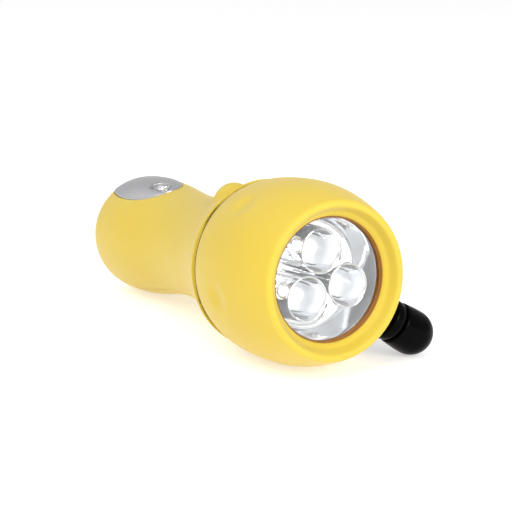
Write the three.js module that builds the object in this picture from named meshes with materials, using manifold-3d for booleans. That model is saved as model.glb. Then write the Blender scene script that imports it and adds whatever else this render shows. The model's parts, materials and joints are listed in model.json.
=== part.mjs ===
// A hand-cranked torch: a barrel head with three LEDs, an egg-shaped handle, and a crank that
// turns a small generator through a gear train.
//
// The torch's own frame: x runs forward along the torch, y to its left, z towards the switch plate,
// and x = 0 is the front of the lens. A "station" is a distance behind the lens, so x = -station.
// The drive frame has the same origin and x, and its z runs out along the crank shaft.
// All lengths are millimetres.

import * as THREE from "three";
import { mergeVertices } from "three/addons/utils/BufferGeometryUtils.js";
import Module from "manifold-3d";

const wasm = await Module();
wasm.setup();

// ---------------------------------------------------------------- driving dimensions

// Head
const lensRadius = 16.1; // clear opening in front of the lens
const lensSeat = 1.5; // lens edge hidden behind the lip
const lensThickness = 1.4;
const lipHeight = 4.6; // lip's crest in front of the lens
const lipWidth = 4.68; // lens opening to the rim's outer edge
const headRadius = lensRadius + 9.2;
const headWidestStation = 15;
const seamStation = 30.1;
const seamRadius = lensRadius + 7.4;
const seamWidth = 0.7;
const headClocking = -4.5; // degrees that the head's pattern stops short of the handle's
const dimpleCount = 6;
const dimpleLength = 8;
const dimpleWidth = 7.2;
const dimpleDepth = 0.8;

// Handle
const wall = 2;
const collarRadius = seamRadius + 0.8; // the handle's front edge, just proud of the head's
const neckStation = 71;
const neckRadius = 16.2;
const bulbRadius = 19.8;
const bulbLength = 17.15; // widest place to the tail
const tailStation = 125.15;
const spigotLength = 25.3; // what reaches into the head
const partingGap = 0.2;
const bumpStation = 42.2;
const bumpLength = 14; // the whole ball's, of which a cap shows
const bumpWidth = 12.8;
const bumpDepth = 7.2;
const bumpDrop = 1.1; // bump's top under the collar's edge

// Switch plate and button
const plateStation = tailStation - 21.15;
const plateLength = 36.6;
const plateWidth = 19.4;
const plateThickness = 1.1;
const plateProud = 0.35;
const buttonAhead = 13.6; // button to the plate's middle
const buttonRadius = 2.3;
const buttonRise = 1.2;
const buttonTravel = 0.8;

// Reflector and light
const reflectorDepth = 7.4; // flange to floor
const cupRadius = 6.1;
const cupCircle = 7.4;
const ledRadius = 2.5;
const skin = 1.1; // moulded wall of the reflector and its like

// Crank and gears
const crankAngle = 46; // degrees below the torch's left side
const crankStation = 52;
const crankLength = 45.5;
const armClearance = 1;
const armThickness = 3.4;
const bossRadius = 9.5;
const shaftRadius = 3;
const axleRadius = 1;
const knobRadius = 6.5;
const knobLength = 13.4;
const crankTeeth = 30;
const idler1Teeth = 26;
const idler2Teeth = 24;
const pinionTeeth = 10;
const gearWidth = 2.4;
const gearPitchLevel = 2.8; // one gear layer to the next
const backlash = 0.16;
const generatorRadius = 10.8;
const generatorHeight = 6.2;

// Battery
const cellRadius = 7.75;
const cellThickness = 6;
const cellCount = 3;

// Clearances
const seatGap = 0.3; // faces that meet
const runningGap = 0.05; // a shaft in its bore
const toothGap = 1.2; // tips of the largest gear to the neck's wall

// ---------------------------------------------------------------- solids

const tau = 2 * Math.PI;
const radians = THREE.MathUtils.degToRad;

// A manifold solid from any closed geometry, facing outwards whatever way its outline was listed.
function solid(geometry) {
  const bare = new THREE.BufferGeometry();
  bare.setAttribute("position", geometry.getAttribute("position").clone());
  if (geometry.index) bare.setIndex(geometry.index.clone());
  const merged = mergeVertices(bare, 1e-4);
  const corners = merged.index.array;
  const triangles = [];
  for (let i = 0; i < corners.length; i += 3) {
    const [a, b, c] = corners.slice(i, i + 3);
    if (a !== b && b !== c && c !== a) triangles.push(a, b, c);
  }
  const build = (order) =>
    new wasm.Manifold(
      new wasm.Mesh({
        numProp: 3,
        vertProperties: new Float32Array(merged.attributes.position.array),
        triVerts: new Uint32Array(order),
      }),
    );
  const made = build(triangles);
  return made.volume() > 0 ? made : build(triangles.reverse());
}

// The geometry of a manifold solid.
function geometryOf(body) {
  const mesh = body.getMesh();
  const points = new Float32Array(mesh.numVert * 3);
  for (let i = 0; i < mesh.numVert; i++) {
    const start = i * mesh.numProp;
    points.set(mesh.vertProperties.subarray(start, start + 3), i * 3);
  }
  const geometry = new THREE.BufferGeometry();
  geometry.setAttribute("position", new THREE.BufferAttribute(points, 3));
  geometry.setIndex(new THREE.BufferAttribute(new Uint32Array(mesh.triVerts), 1));
  geometry.computeVertexNormals();
  return geometry;
}

// A solid turned about z from [z, radius] points, at (x, y).
function turned(outline, segments = 16, x = 0, y = 0) {
  const points = outline.map(([z, radius]) => new THREE.Vector2(radius, z));
  const geometry = new THREE.LatheGeometry(points, segments);
  geometry.rotateX(Math.PI / 2);
  geometry.translate(x, y, 0);
  return solid(geometry);
}

// A solid turned about the torch's axis from [station, radius] points.
function turnedAlong(outline, segments = 24) {
  const points = outline.map(([station, radius]) => new THREE.Vector2(radius, -station));
  const geometry = new THREE.LatheGeometry(points, segments);
  geometry.rotateZ(-Math.PI / 2);
  return solid(geometry);
}

// A round bar or disc along z.
function disc(radius, low, high, segments = 16, x = 0, y = 0) {
  return turned([[low, 0], [low, radius], [high, radius], [high, 0]], segments, x, y);
}

// A ring or tube along z.
function ring(inner, outer, low, high, segments = 16, x = 0, y = 0) {
  const outline = [[low, inner], [low, outer], [high, outer], [high, inner], [low, inner]];
  return turned(outline, segments, x, y);
}

// The same two along the torch's axis, between two stations.
function discAlong(radius, from, to, segments = 24) {
  return turnedAlong([[from, 0], [from, radius], [to, radius], [to, 0]], segments);
}

function ringAlong(inner, outer, from, to, segments = 24) {
  return turnedAlong([[from, inner], [from, outer], [to, outer], [to, inner], [from, inner]], segments);
}

// A box between two corners.
function block(low, high) {
  const geometry = new THREE.BoxGeometry(high[0] - low[0], high[1] - low[1], high[2] - low[2]);
  geometry.translate((low[0] + high[0]) / 2, (low[1] + high[1]) / 2, (low[2] + high[2]) / 2);
  return solid(geometry);
}

// A flat outline raised from one height to another along z.
function raised(shape, low, high, curveSegments = 12) {
  const options = { depth: high - low, bevelEnabled: false, curveSegments };
  const geometry = new THREE.ExtrudeGeometry(shape, options);
  geometry.translate(0, 0, low);
  return solid(geometry);
}

// The outline round two circles on the x axis and their common tangents.
function strap(fromX, fromRadius, toX, toRadius) {
  const lean = Math.asin((fromRadius - toRadius) / Math.abs(toX - fromX));
  const side = Math.sign(toX - fromX);
  const shape = new THREE.Shape();
  const turn = side > 0 ? 0 : Math.PI;
  shape.absarc(toX, 0, toRadius, turn - Math.PI / 2 + lean, turn + Math.PI / 2 - lean, false);
  shape.absarc(fromX, 0, fromRadius, turn + Math.PI / 2 - lean, turn + 1.5 * Math.PI + lean, false);
  return shape;
}

// The radius that a round hole of this many sides needs to clear a shaft.
function bore(radius, gap = runningGap, segments = 16) {
  return (radius + gap) / Math.cos(Math.PI / segments);
}

function sphere(radius, x, y, z, scale = [1, 1, 1], segments = 16) {
  const geometry = new THREE.SphereGeometry(radius, segments, Math.round(segments / 2));
  geometry.scale(...scale);
  geometry.translate(x, y, z);
  return solid(geometry);
}

// A wire along a smooth path.
function wire(points, radius, steps) {
  const path = new THREE.CatmullRomCurve3(points.map((p) => new THREE.Vector3(...p)));
  const section = new THREE.Shape();
  section.absarc(0, 0, radius, 0, tau, false);
  const options = { extrudePath: path, steps, curveSegments: 4, bevelEnabled: false };
  return solid(new THREE.ExtrudeGeometry(section, options));
}

// The involute spur gear's outline: stub teeth at 25 degrees, a tooth centred on angle 0.
function gearShape(teeth, module, clocking) {
  const pressure = radians(25);
  const pitch = (module * teeth) / 2;
  const base = pitch * Math.cos(pressure);
  const tip = pitch + 0.8 * module;
  const root = pitch - 1.1 * module;
  const flankStart = Math.max(base, root);
  const involute = (radius) => {
    const roll = Math.sqrt(Math.max(0, (radius / base) ** 2 - 1));
    return roll - Math.atan(roll);
  };
  const halfTooth = Math.PI / (2 * teeth) - backlash / 2 / pitch;
  const halfAngle = (radius) => halfTooth + involute(pitch) - involute(radius);
  const radii = root < base ? [root, flankStart, tip] : [root, tip];
  const points = [];
  for (let tooth = 0; tooth < teeth; tooth++) {
    const middle = clocking + (tooth * tau) / teeth;
    const rising = radii.map((radius) => [radius, middle - halfAngle(Math.max(radius, flankStart))]);
    const falling = radii.map((radius) => [radius, middle + halfAngle(Math.max(radius, flankStart))]);
    for (const [radius, angle] of [...rising, ...falling.reverse()]) {
      points.push(new THREE.Vector2(radius * Math.cos(angle), radius * Math.sin(angle)));
    }
  }
  return new THREE.Shape(points);
}

function gearBlank(teeth, module, clocking, low, high) {
  return raised(gearShape(teeth, module, clocking), low, high, 1);
}

// ---------------------------------------------------------------- the torch's outer surface

const rimRadius = lensRadius + lipWidth;
const collarStation = seamStation + seamWidth;
const bulbStation = tailStation - bulbLength;

function headSurface(station) {
  if (station < headWidestStation) {
    const u = (station + lipHeight) / (headWidestStation + lipHeight);
    return headRadius - (headRadius - rimRadius) * (1 - u) ** 2;
  }
  const u = (station - headWidestStation) / (seamStation - headWidestStation);
  return headRadius - (headRadius - seamRadius) * u ** 3;
}

function handleSurface(station) {
  if (station < neckStation) {
    const u = (neckStation - station) / (neckStation - collarStation);
    return neckRadius + (collarRadius - neckRadius) * u ** 2.15;
  }
  if (station < bulbStation) {
    const u = (station - neckStation) / (bulbStation - neckStation);
    return neckRadius + ((bulbRadius - neckRadius) * (1 - Math.cos(Math.PI * u))) / 2;
  }
  const u = Math.min(1, (station - bulbStation) / bulbLength);
  return bulbRadius * (1 - u ** 3.2) ** (1 / 3.2);
}

// Stations along the handle, closer together where it curves.
const between = (from, to, shares) => shares.map((share) => from + share * (to - from));
const handleStations = [
  ...between(collarStation, neckStation, [0, 0.12, 0.26, 0.42, 0.65, 1]),
  ...between(neckStation, bulbStation, [0.3, 0.6, 0.85]),
  ...between(bulbStation, tailStation, [0.1, 0.45, 0.68, 0.84, 0.94]),
];

// The handle's outer surface moved outwards by an offset, as a solid.
function handleBody(offset) {
  const side = handleStations.map((station) => [station, handleSurface(station) + offset]);
  const shoulder = [tailStation + offset - 0.25, handleSurface(tailStation - 0.25) + offset];
  return turnedAlong([[collarStation, 0], ...side, shoulder, [tailStation + offset, 0]], 26);
}

// ---------------------------------------------------------------- materials

function material(color, roughness, metalness = 0, opacity = 1) {
  const transparent = opacity < 1;
  return new THREE.MeshStandardMaterial({ color, roughness, metalness, opacity, transparent });
}

const yellow = material(0xf2cb3a, 0.6);
const clear = material(0xf4f8fa, 0.05, 0, 0.35);
const chrome = material(0xd8dadd, 0.12, 1);
const satin = material(0xc4c5c8, 0.35, 0.8);
const rubber = material(0x1b1b1c, 0.8);
const black = material(0x0d0d0e, 0.15);
const steel = material(0xa9abad, 0.35, 1);
const brass = material(0xc9a452, 0.35, 1);
const white = material(0xeeeeea, 0.5);
const board = material(0x2f6b3a, 0.5);
const copper = material(0xb86a3a, 0.4, 0.8);
const sleeve = material(0x3f6fb0, 0.5);
const epoxy = material(0xe9f1f5, 0.08, 0, 0.6);
const redWire = material(0xb02a24, 0.6);
const blackWire = material(0x1c1c1e, 0.6);

function add(group, name, body, look) {
  const mesh = new THREE.Mesh(geometryOf(body), look);
  mesh.name = name;
  group.add(mesh);
  return mesh;
}

// ---------------------------------------------------------------- frames

const torch = new THREE.Group();

const drive = new THREE.Group();
const driveTurn = -Math.PI / 2 - radians(crankAngle);
drive.rotation.x = driveTurn;
torch.add(drive);

const head = new THREE.Group();
head.rotation.x = radians(headClocking);
torch.add(head);

// A solid drawn in the drive frame, given in the torch's frame.
function fromDrive(body) {
  const geometry = geometryOf(body);
  geometry.rotateX(driveTurn);
  return solid(geometry);
}

// ---------------------------------------------------------------- head shell, lens and gasket

const spigotStation = seamStation - spigotLength; // front end of what the head slides over
const spigotRadius = seamRadius - wall - seatGap;
const headBore = spigotRadius + seatGap;
const lensEdge = lensRadius + lensSeat;
const lipRoot = -seatGap;

// The lip stands up from a narrow wall round the lens, by way of a shallow step and a steep bevel.
const headOutline = [
  [lipRoot, lensRadius],
  [-0.23 * lipHeight, lensRadius + 0.4],
  [-0.41 * lipHeight, lensRadius + 0.36 * lipWidth],
  [-0.84 * lipHeight, lensRadius + 0.6 * lipWidth],
  [-lipHeight, lensRadius + 0.73 * lipWidth],
  [-lipHeight, lensRadius + 0.9 * lipWidth],
  ...between(-lipHeight, headWidestStation, [0.04, 0.3, 0.6, 1]).map((s) => [s, headSurface(s)]),
  ...between(headWidestStation, seamStation, [0.4, 0.75, 1]).map((s) => [s, headSurface(s)]),
  [seamStation, headBore],
  [spigotStation - wall, headBore],
  [spigotStation - wall, lensEdge + seatGap],
  [lipRoot, lensEdge + seatGap],
  [lipRoot, lensRadius],
];
let headShell = turnedAlong(headOutline, 32);
for (let i = 0; i < dimpleCount; i++) {
  // A flat ellipsoid that sinks a third of its height below the surface.
  const height = 3 * dimpleDepth;
  const geometry = new THREE.SphereGeometry(1, 10, 6);
  geometry.scale(0.67 * dimpleLength, 0.67 * dimpleWidth, height);
  geometry.translate(-headWidestStation, 0, headRadius + height - dimpleDepth);
  geometry.rotateX(((i + 0.5) * tau) / dimpleCount);
  headShell = headShell.subtract(solid(geometry));
}
add(head, "head_shell", headShell, yellow);

add(head, "lens", discAlong(lensEdge, 0, lensThickness, 36), clear);

const gasketFront = lensThickness + seatGap;
const flangeStation = spigotStation - wall + seatGap;
add(head, "lens_gasket",
  ringAlong(lensRadius + 0.2, lensEdge, gasketFront, flangeStation - seatGap), rubber);

// The soft ring that closes the seam between the head and the handle.
add(torch, "seam_gasket",
  ringAlong(headBore, seamRadius - 0.1, seamStation + 0.15, collarStation - 0.15), rubber);

// ---------------------------------------------------------------- reflector

const flangeRear = spigotStation - seatGap;
const floorStation = flangeStation + reflectorDepth;
const ledHole = ledRadius + 0.4;
const boardStation = floorStation + 4.6;
const bowlRadius = lensRadius - 0.4;
const cupAngles = [90, 210, 330].map(radians);
const cupRim = lensThickness + seatGap;

let reflector = turnedAlong([
  [cupRim, bowlRadius],
  [cupRim, bowlRadius + 0.4],
  [flangeStation, bowlRadius + 0.4],
  [flangeStation, spigotRadius],
  [flangeRear, spigotRadius],
  [flangeRear, bowlRadius + skin],
  [floorStation + skin, bowlRadius],
  [floorStation + skin, 0],
  [floorStation, 0],
  [floorStation, bowlRadius - skin],
  [cupRim, bowlRadius],
]);
for (const angle of cupAngles) {
  const lift = (body) => {
    const geometry = geometryOf(body);
    geometry.translate(0, cupCircle * Math.cos(angle), cupCircle * Math.sin(angle));
    return solid(geometry);
  };
  reflector = reflector.add(lift(discAlong(cupRadius, cupRim, floorStation + 0.2, 18)));
  const bowl = [[cupRim - 1, 0], [cupRim - 1, cupRadius - 0.4], [cupRim, cupRadius - 0.4]];
  for (const u of [0.4, 0.8]) {
    const station = cupRim + u * (floorStation - cupRim);
    bowl.push([station, ledHole + (cupRadius - 0.4 - ledHole) * Math.sqrt(1 - u)]);
  }
  bowl.push([floorStation, ledHole], [floorStation + 3, ledHole], [floorStation + 3, 0]);
  reflector = reflector.subtract(lift(turnedAlong(bowl, 18)));
}

// Screw posts behind the floor, and the two round pegs at its edge.
const postAngles = [30, 150, 270].map(radians);
const pegAngles = [122, 178].map(radians);
const pegThickness = 2.3;
const pegCircle = bowlRadius - pegThickness - 0.6;
const boardPostCircle = cupCircle + 2.1;
const boardScrewRadius = 0.8;
for (const angle of postAngles) {
  const y = boardPostCircle * Math.cos(angle);
  const z = boardPostCircle * Math.sin(angle);
  const post = geometryOf(discAlong(2, floorStation + 0.5, boardStation - seatGap, 8));
  post.translate(0, y, z);
  const hole = geometryOf(discAlong(boardScrewRadius + 0.3, floorStation + 1.6, boardStation, 8));
  hole.translate(0, y, z);
  reflector = reflector.add(solid(post)).subtract(solid(hole));
}
for (const angle of pegAngles) {
  const peg = geometryOf(discAlong(pegThickness, cupRim + 0.2, floorStation + 0.4, 14));
  peg.translate(0, pegCircle * Math.cos(angle), pegCircle * Math.sin(angle));
  reflector = reflector.add(solid(peg));
}
add(head, "reflector", reflector, chrome);

// ---------------------------------------------------------------- LEDs on their board

const ledFlange = ledRadius + 0.3;
cupAngles.forEach((angle, i) => {
  const rear = boardStation - seatGap;
  const domeStation = rear - 6.1;
  const outline = [[rear, 0], [rear, ledFlange], [rear - 1, ledFlange], [rear - 1, ledRadius]];
  for (const turn of [0, 35, 65].map(radians)) {
    outline.push([domeStation - ledRadius * Math.sin(turn), ledRadius * Math.cos(turn)]);
  }
  outline.push([domeStation - ledRadius, 0]);
  const geometry = geometryOf(turnedAlong(outline, 12));
  geometry.translate(0, cupCircle * Math.cos(angle), cupCircle * Math.sin(angle));
  add(head, `led_${i + 1}`, solid(geometry), epoxy);
});

const boardThickness = 1.4;
let ledBoard = discAlong(14, boardStation, boardStation + boardThickness, 20);
postAngles.forEach((angle, i) => {
  const y = boardPostCircle * Math.cos(angle);
  const z = boardPostCircle * Math.sin(angle);
  const hole = geometryOf(discAlong(boardScrewRadius + 0.2, boardStation - 1, boardStation + 3, 10));
  hole.translate(0, y, z);
  ledBoard = ledBoard.subtract(solid(hole));
  const seat = boardStation + boardThickness + seatGap;
  const screw = geometryOf(
    turnedAlong([
      [floorStation + 2, 0],
      [floorStation + 2, boardScrewRadius],
      [seat, boardScrewRadius],
      [seat, 1.6],
      [seat + 0.9, 1.6],
      [seat + 0.9, 0],
    ], 10),
  );
  screw.translate(0, y, z);
  add(head, `led_board_screw_${i + 1}`, solid(screw), steel);
});
add(head, "led_board", ledBoard, board);

// ---------------------------------------------------------------- handle shells

const spigotInner = spigotRadius - wall;
const cradleFlangeStation = boardStation + boardThickness + 1.9;
const cradleShoulder = cradleFlangeStation + 1.2 + seatGap;
const throatRadius = spigotInner - 1.2;

// The hollow: the spigot's bore, a shoulder for the battery cradle, then the outer shape less a wall.
const hollowOutline = [
  [spigotStation - 1, 0],
  [spigotStation - 1, spigotInner],
  [cradleShoulder, spigotInner],
  [cradleShoulder, throatRadius],
];
const hollowStations = [
  ...between(collarStation, neckStation, [0.3, 0.42, 0.65, 1]),
  ...between(neckStation, bulbStation, [0.3, 0.6, 1]),
  ...between(bulbStation, tailStation, [0.45, 0.7]),
];
for (const station of hollowStations) {
  hollowOutline.push([station, Math.min(throatRadius, handleSurface(station) - wall)]);
}
hollowOutline.push([tailStation - wall - 0.6, 0.6 * bulbRadius], [tailStation - wall - 0.2, 0]);
const hollow = turnedAlong(hollowOutline, 26);

const bump = sphere(1, -bumpStation, 0, collarRadius - bumpDrop - bumpDepth,
  [bumpLength / 2, bumpWidth / 2, bumpDepth], 18);

const bossTop = headRadius + armClearance - 0.4;
const shaftBearing = shaftRadius + 1.5;
const boss = fromDrive(
  turned([
    [0, 0],
    [0, bossRadius + 1.5],
    [neckRadius, bossRadius + 1.5],
    [neckRadius + 3, bossRadius],
    [bossTop - 0.6, bossRadius],
    [bossTop, bossRadius - 0.6],
    [bossTop, 0],
  ], 28, -crankStation, 0),
);

const collar = ringAlong(spigotInner - 2, spigotRadius, spigotStation, collarStation + 4);
let casing = handleBody(0).add(collar).add(bump).add(boss).subtract(hollow);

// Screw posts that join the two shells: two in the collar and one in the tail.
const collarPostStation = cradleShoulder + 14.6;
const shellPosts = [
  [-collarPostStation, throatRadius - 4.2],
  [-collarPostStation, -(throatRadius - 4.2)],
  [-(tailStation - 11), 0],
];
const shellPostRadius = 3.6;
const postLimit = handleBody(plateProud - plateThickness - 2 * seatGap); // stays under the plate
for (const [x, y] of shellPosts) {
  const post = fromDrive(disc(shellPostRadius, -24, 24, 12, x, y)).intersect(postLimit);
  casing = casing.add(post);
}

// The bush's bore through the boss, and the seal's counterbore.
const sealWidth = 1.4;
casing = casing.subtract(
  fromDrive(
    turned([
      [3, 0],
      [3, shaftBearing + seatGap],
      [bossTop + 1, shaftBearing + seatGap],
      [bossTop + 1, 0],
    ], 16, -crankStation, 0),
  ),
);

// The plate's pocket, its peg sockets and the button's hole.
function plateOutline(gap) {
  const shape = new THREE.Shape();
  shape.absellipse(-plateStation, 0, plateLength / 2 + gap, plateWidth / 2 + gap, 0, tau, false, 0);
  return shape;
}
const pocket = raised(plateOutline(seatGap), 4, 30, 16).subtract(
  handleBody(plateProud - plateThickness - seatGap),
);
const buttonStation = plateStation - buttonAhead;
const pegStations = [plateStation + 4, plateStation + 12];
const pegRadius = 1.2;
casing = casing.subtract(pocket);
casing = casing.subtract(disc(bore(buttonRadius, 0.15), 5, 30, 16, -buttonStation, 0));
for (const station of pegStations) {
  casing = casing.subtract(disc(pegRadius + seatGap, 5, 30, 12, -station, 0));
}

const far = 200;
const gripHalf = fromDrive(block([-far, -far, -far], [far, far, -partingGap / 2]));
const crankHalf = fromDrive(block([-far, -far, partingGap / 2], [far, far, far]));
let gripShell = casing.intersect(gripHalf);
let crankShell = casing.intersect(crankHalf);

// ---------------------------------------------------------------- shell screws

const shellScrew = { radius: 1.2, head: 2.3, headHeight: 1.6, reach: 8, seat: 6.5 };
shellPosts.forEach(([x, y], i) => {
  const seat = shellScrew.seat;
  const well = disc(shellScrew.head + seatGap, seat, 30, 14, x, y);
  const through = disc(shellScrew.radius + seatGap, -1, seat + 1, 12, x, y);
  const pilot = disc(shellScrew.radius + seatGap, -shellScrew.reach - 1, 1, 12, x, y);
  crankShell = crankShell.subtract(fromDrive(well)).subtract(fromDrive(through));
  gripShell = gripShell.subtract(fromDrive(pilot));
  const top = seat + seatGap;
  const reach = 0.6 * shellScrew.head;
  const slot = block([x - reach, y - 0.35, top + 0.8], [x + reach, y + 0.35, top + 3]);
  const cross = block([x - 0.35, y - reach, top + 0.8], [x + 0.35, y + reach, top + 3]);
  const screw = turned([
    [-shellScrew.reach, 0],
    [-shellScrew.reach, shellScrew.radius],
    [top, shellScrew.radius],
    [top, shellScrew.head],
    [top + shellScrew.headHeight, shellScrew.head],
    [top + shellScrew.headHeight, 0],
  ], 12, x, y).subtract(slot).subtract(cross);
  add(drive, `shell_screw_${i + 1}`, screw, steel);
});

// ---------------------------------------------------------------- gear train sizes

// The largest gear just clears the neck's wall, and every other gear shares its tooth size.
const layerA = 2 * gearPitchLevel - 1; // crank gear and first pinion
const layerB = gearPitchLevel - 1;
const layerC = -1;
const neckRoom = Math.sqrt((handleSurface(crankStation + 8) - wall) ** 2 - (layerA + gearWidth) ** 2);
const gearModule = (neckRoom - toothGap) / (crankTeeth / 2 + 0.8);
const centres = (a, b) => (gearModule * (a + b)) / 2;
const idler1Station = crankStation + centres(crankTeeth, pinionTeeth);
const idler2Station = idler1Station + centres(idler1Teeth, pinionTeeth);
const rotorStation = idler2Station + centres(idler2Teeth, pinionTeeth);
const plateTop = layerC - 0.4;
const plateBottom = plateTop - 1.2;

// ---------------------------------------------------------------- gear plate

const idlerRadius = (gearModule * idler2Teeth) / 2;
const gearPlateHalf = Math.min(9.5, idlerRadius);
const gearPlateShape = strap(-(crankStation - 2), gearPlateHalf, -(rotorStation + 1), gearPlateHalf);
const shaftFoot = plateBottom - 1;
let gearPlate = raised(gearPlateShape, plateBottom, plateTop, 8);
gearPlate = gearPlate.subtract(
  disc(bore(shaftRadius), plateBottom - 1, plateTop + 1, 16, -crankStation, 0),
);
for (const station of [idler1Station, idler2Station]) {
  gearPlate = gearPlate.subtract(disc(axleRadius + 0.1, plateBottom - 1, plateTop + 1, 16, -station, 0));
}
gearPlate = gearPlate.subtract(
  disc(bore(axleRadius), plateBottom - 1, plateTop + 1, 16, -rotorStation, 0),
);

// Two pillars that carry the generator's can.
const generatorLow = layerA;
const pillarAngles = [-75, 75].map(radians);
for (const angle of pillarAngles) {
  const x = -(rotorStation + (generatorRadius - 2) * Math.cos(angle));
  const y = (generatorRadius - 2) * Math.sin(angle);
  gearPlate = gearPlate.add(disc(1.5, plateTop - 0.5, generatorLow - seatGap, 12, x, y));
}

const gearPosts = [
  [-(crankStation - 7), 5.5],
  [-(crankStation - 7), -5.5],
  [-(rotorStation + 7.8), 4],
  [-(rotorStation + 7.8), -4],
];
const gearScrew = { radius: 0.8, head: 1.5, headHeight: 0.6 };
gearPosts.forEach(([x, y], i) => {
  gearPlate = gearPlate.subtract(disc(gearScrew.radius + 0.2, plateBottom - 1, plateTop + 1, 12, x, y));
  const post = disc(2, -24, plateBottom - seatGap, 12, x, y);
  gripShell = gripShell
    .add(fromDrive(post).intersect(postLimit).intersect(gripHalf))
    .subtract(fromDrive(disc(gearScrew.radius + 0.2, plateBottom - 6, plateBottom, 12, x, y)));
  const top = plateTop + 0.1;
  const screw = turned([
    [plateBottom - 4.5, 0],
    [plateBottom - 4.5, gearScrew.radius],
    [top, gearScrew.radius],
    [top, gearScrew.head],
    [top + gearScrew.headHeight, gearScrew.head],
    [top + gearScrew.headHeight, 0],
  ], 12, x, y);
  add(drive, `gear_plate_screw_${i + 1}`, screw, steel);
});
add(drive, "gear_plate", gearPlate, black);

// ---------------------------------------------------------------- idler gears on their axles

// A wheel and the pinion that stands on it, moulded in one.
function compoundGear(wheelTeeth, wheelLow, wheelTurn, pinionLow, pinionTurn) {
  const top = pinionLow + gearWidth;
  const wheel = gearBlank(wheelTeeth, gearModule, wheelTurn, wheelLow, wheelLow + gearWidth);
  const pinion = gearBlank(pinionTeeth, gearModule, pinionTurn, wheelLow + gearWidth - 0.2, top);
  const hole = disc(bore(axleRadius), wheelLow - 1, top + 1);
  return wheel.add(pinion).subtract(hole);
}

// A gear ahead has a tooth pointing back at its neighbour, which has a space there. With its own
// tooth at the front when its count is even, the neighbour is turned by half a tooth.
const halfPinionTooth = Math.PI / pinionTeeth;
const rearTooth = (teeth) => (teeth % 2 ? Math.PI / teeth : 0);

const idler1 = new THREE.Group();
idler1.name = "idler_1";
idler1.position.x = -idler1Station;
drive.add(idler1);
add(idler1, "idler_gear_1",
  compoundGear(idler1Teeth, layerB, rearTooth(idler1Teeth), layerA, halfPinionTooth), white);

const idler2 = new THREE.Group();
idler2.name = "idler_2";
idler2.position.x = -idler2Station;
drive.add(idler2);
add(idler2, "idler_gear_2",
  compoundGear(idler2Teeth, layerC, rearTooth(idler2Teeth), layerB, halfPinionTooth), white);

const axleTops = [layerA + gearWidth + 1, layerB + gearWidth + 1];
[idler1Station, idler2Station].forEach((station, i) => {
  add(drive, `idler_axle_${i + 1}`,
    disc(axleRadius, plateBottom, axleTops[i], 16, -station, 0), steel);
});

// ---------------------------------------------------------------- generator

const rotor = new THREE.Group();
rotor.name = "rotor";
rotor.position.x = -rotorStation;
drive.add(rotor);
const canWall = 0.8;
const generatorTop = generatorLow + generatorHeight;
const magnetRadius = generatorRadius * 0.5;
const magnetLow = generatorLow + canWall + 0.5;
const magnetHigh = generatorTop - canWall - 0.5;
add(rotor, "rotor_shaft", disc(axleRadius, plateBottom, generatorTop + 0.8), steel);
add(rotor, "rotor_pinion",
  gearBlank(pinionTeeth, gearModule, halfPinionTooth, layerC, layerC + gearWidth)
    .subtract(disc(bore(axleRadius), layerC - 1, layerC + gearWidth + 1)), brass);
add(rotor, "rotor_magnet", ring(bore(axleRadius), magnetRadius, magnetLow, magnetHigh), steel);

const can = turned([
  [generatorLow, bore(axleRadius)],
  [generatorLow, generatorRadius],
  [generatorTop, generatorRadius],
  [generatorTop, generatorRadius - canWall],
  [generatorLow + canWall, generatorRadius - canWall],
  [generatorLow + canWall, bore(axleRadius)],
  [generatorLow, bore(axleRadius)],
], 16, -rotorStation, 0);
add(drive, "generator_can", can, steel);
add(drive, "generator_cap",
  ring(bore(axleRadius), generatorRadius - canWall - seatGap, generatorTop - canWall, generatorTop,
    16, -rotorStation, 0), black);
add(drive, "generator_coil",
  ring(magnetRadius + 0.5, generatorRadius - canWall - seatGap, magnetLow, magnetHigh,
    16, -rotorStation, 0), copper);

// ---------------------------------------------------------------- crank

const crank = new THREE.Group();
crank.name = "crank";
crank.position.x = -crankStation;
drive.add(crank);

const armLow = headRadius + armClearance;
const armHigh = armLow + armThickness;
const hubRadius = bossRadius - 0.5;
const armEnd = knobRadius - 0.6;
const squareSide = shaftRadius - 0.5;
const shaftTop = armHigh - 0.8;
const shaftFlangeLow = layerA + gearWidth + 0.3;

// The shaft: a round journal, a collar that the bush runs against, and a hexagon for the arm.
const hexagon = disc(squareSide, armLow - 1, shaftTop, 6);
const crankShaft = turned([
  [shaftFoot, 0],
  [shaftFoot, shaftRadius],
  [armLow - 0.2, shaftRadius],
  [armLow - 0.2, 0],
]).add(hexagon).subtract(disc(1.45, shaftTop - 7, shaftTop + 1, 12));
add(crank, "crank_shaft", crankShaft, steel);

add(crank, "crank_gear",
  gearBlank(crankTeeth, gearModule, rearTooth(crankTeeth), layerA, layerA + gearWidth)
    .add(disc(shaftRadius + 2, layerA, shaftFlangeLow + 2))
    .subtract(disc(bore(shaftRadius), layerA - 1, shaftFlangeLow + 4)), white);

const bushLow = shaftFlangeLow + 2.6;
const bushHigh = bossTop - sealWidth - 0.5;
add(drive, "crank_bush",
  ring(bore(shaftRadius), shaftBearing, bushLow, bushHigh, 16, -crankStation, 0),
  brass);
add(drive, "shaft_seal",
  ring(bore(shaftRadius), shaftBearing, bushHigh + 0.2, bossTop - 0.2, 16, -crankStation, 0), rubber);

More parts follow.
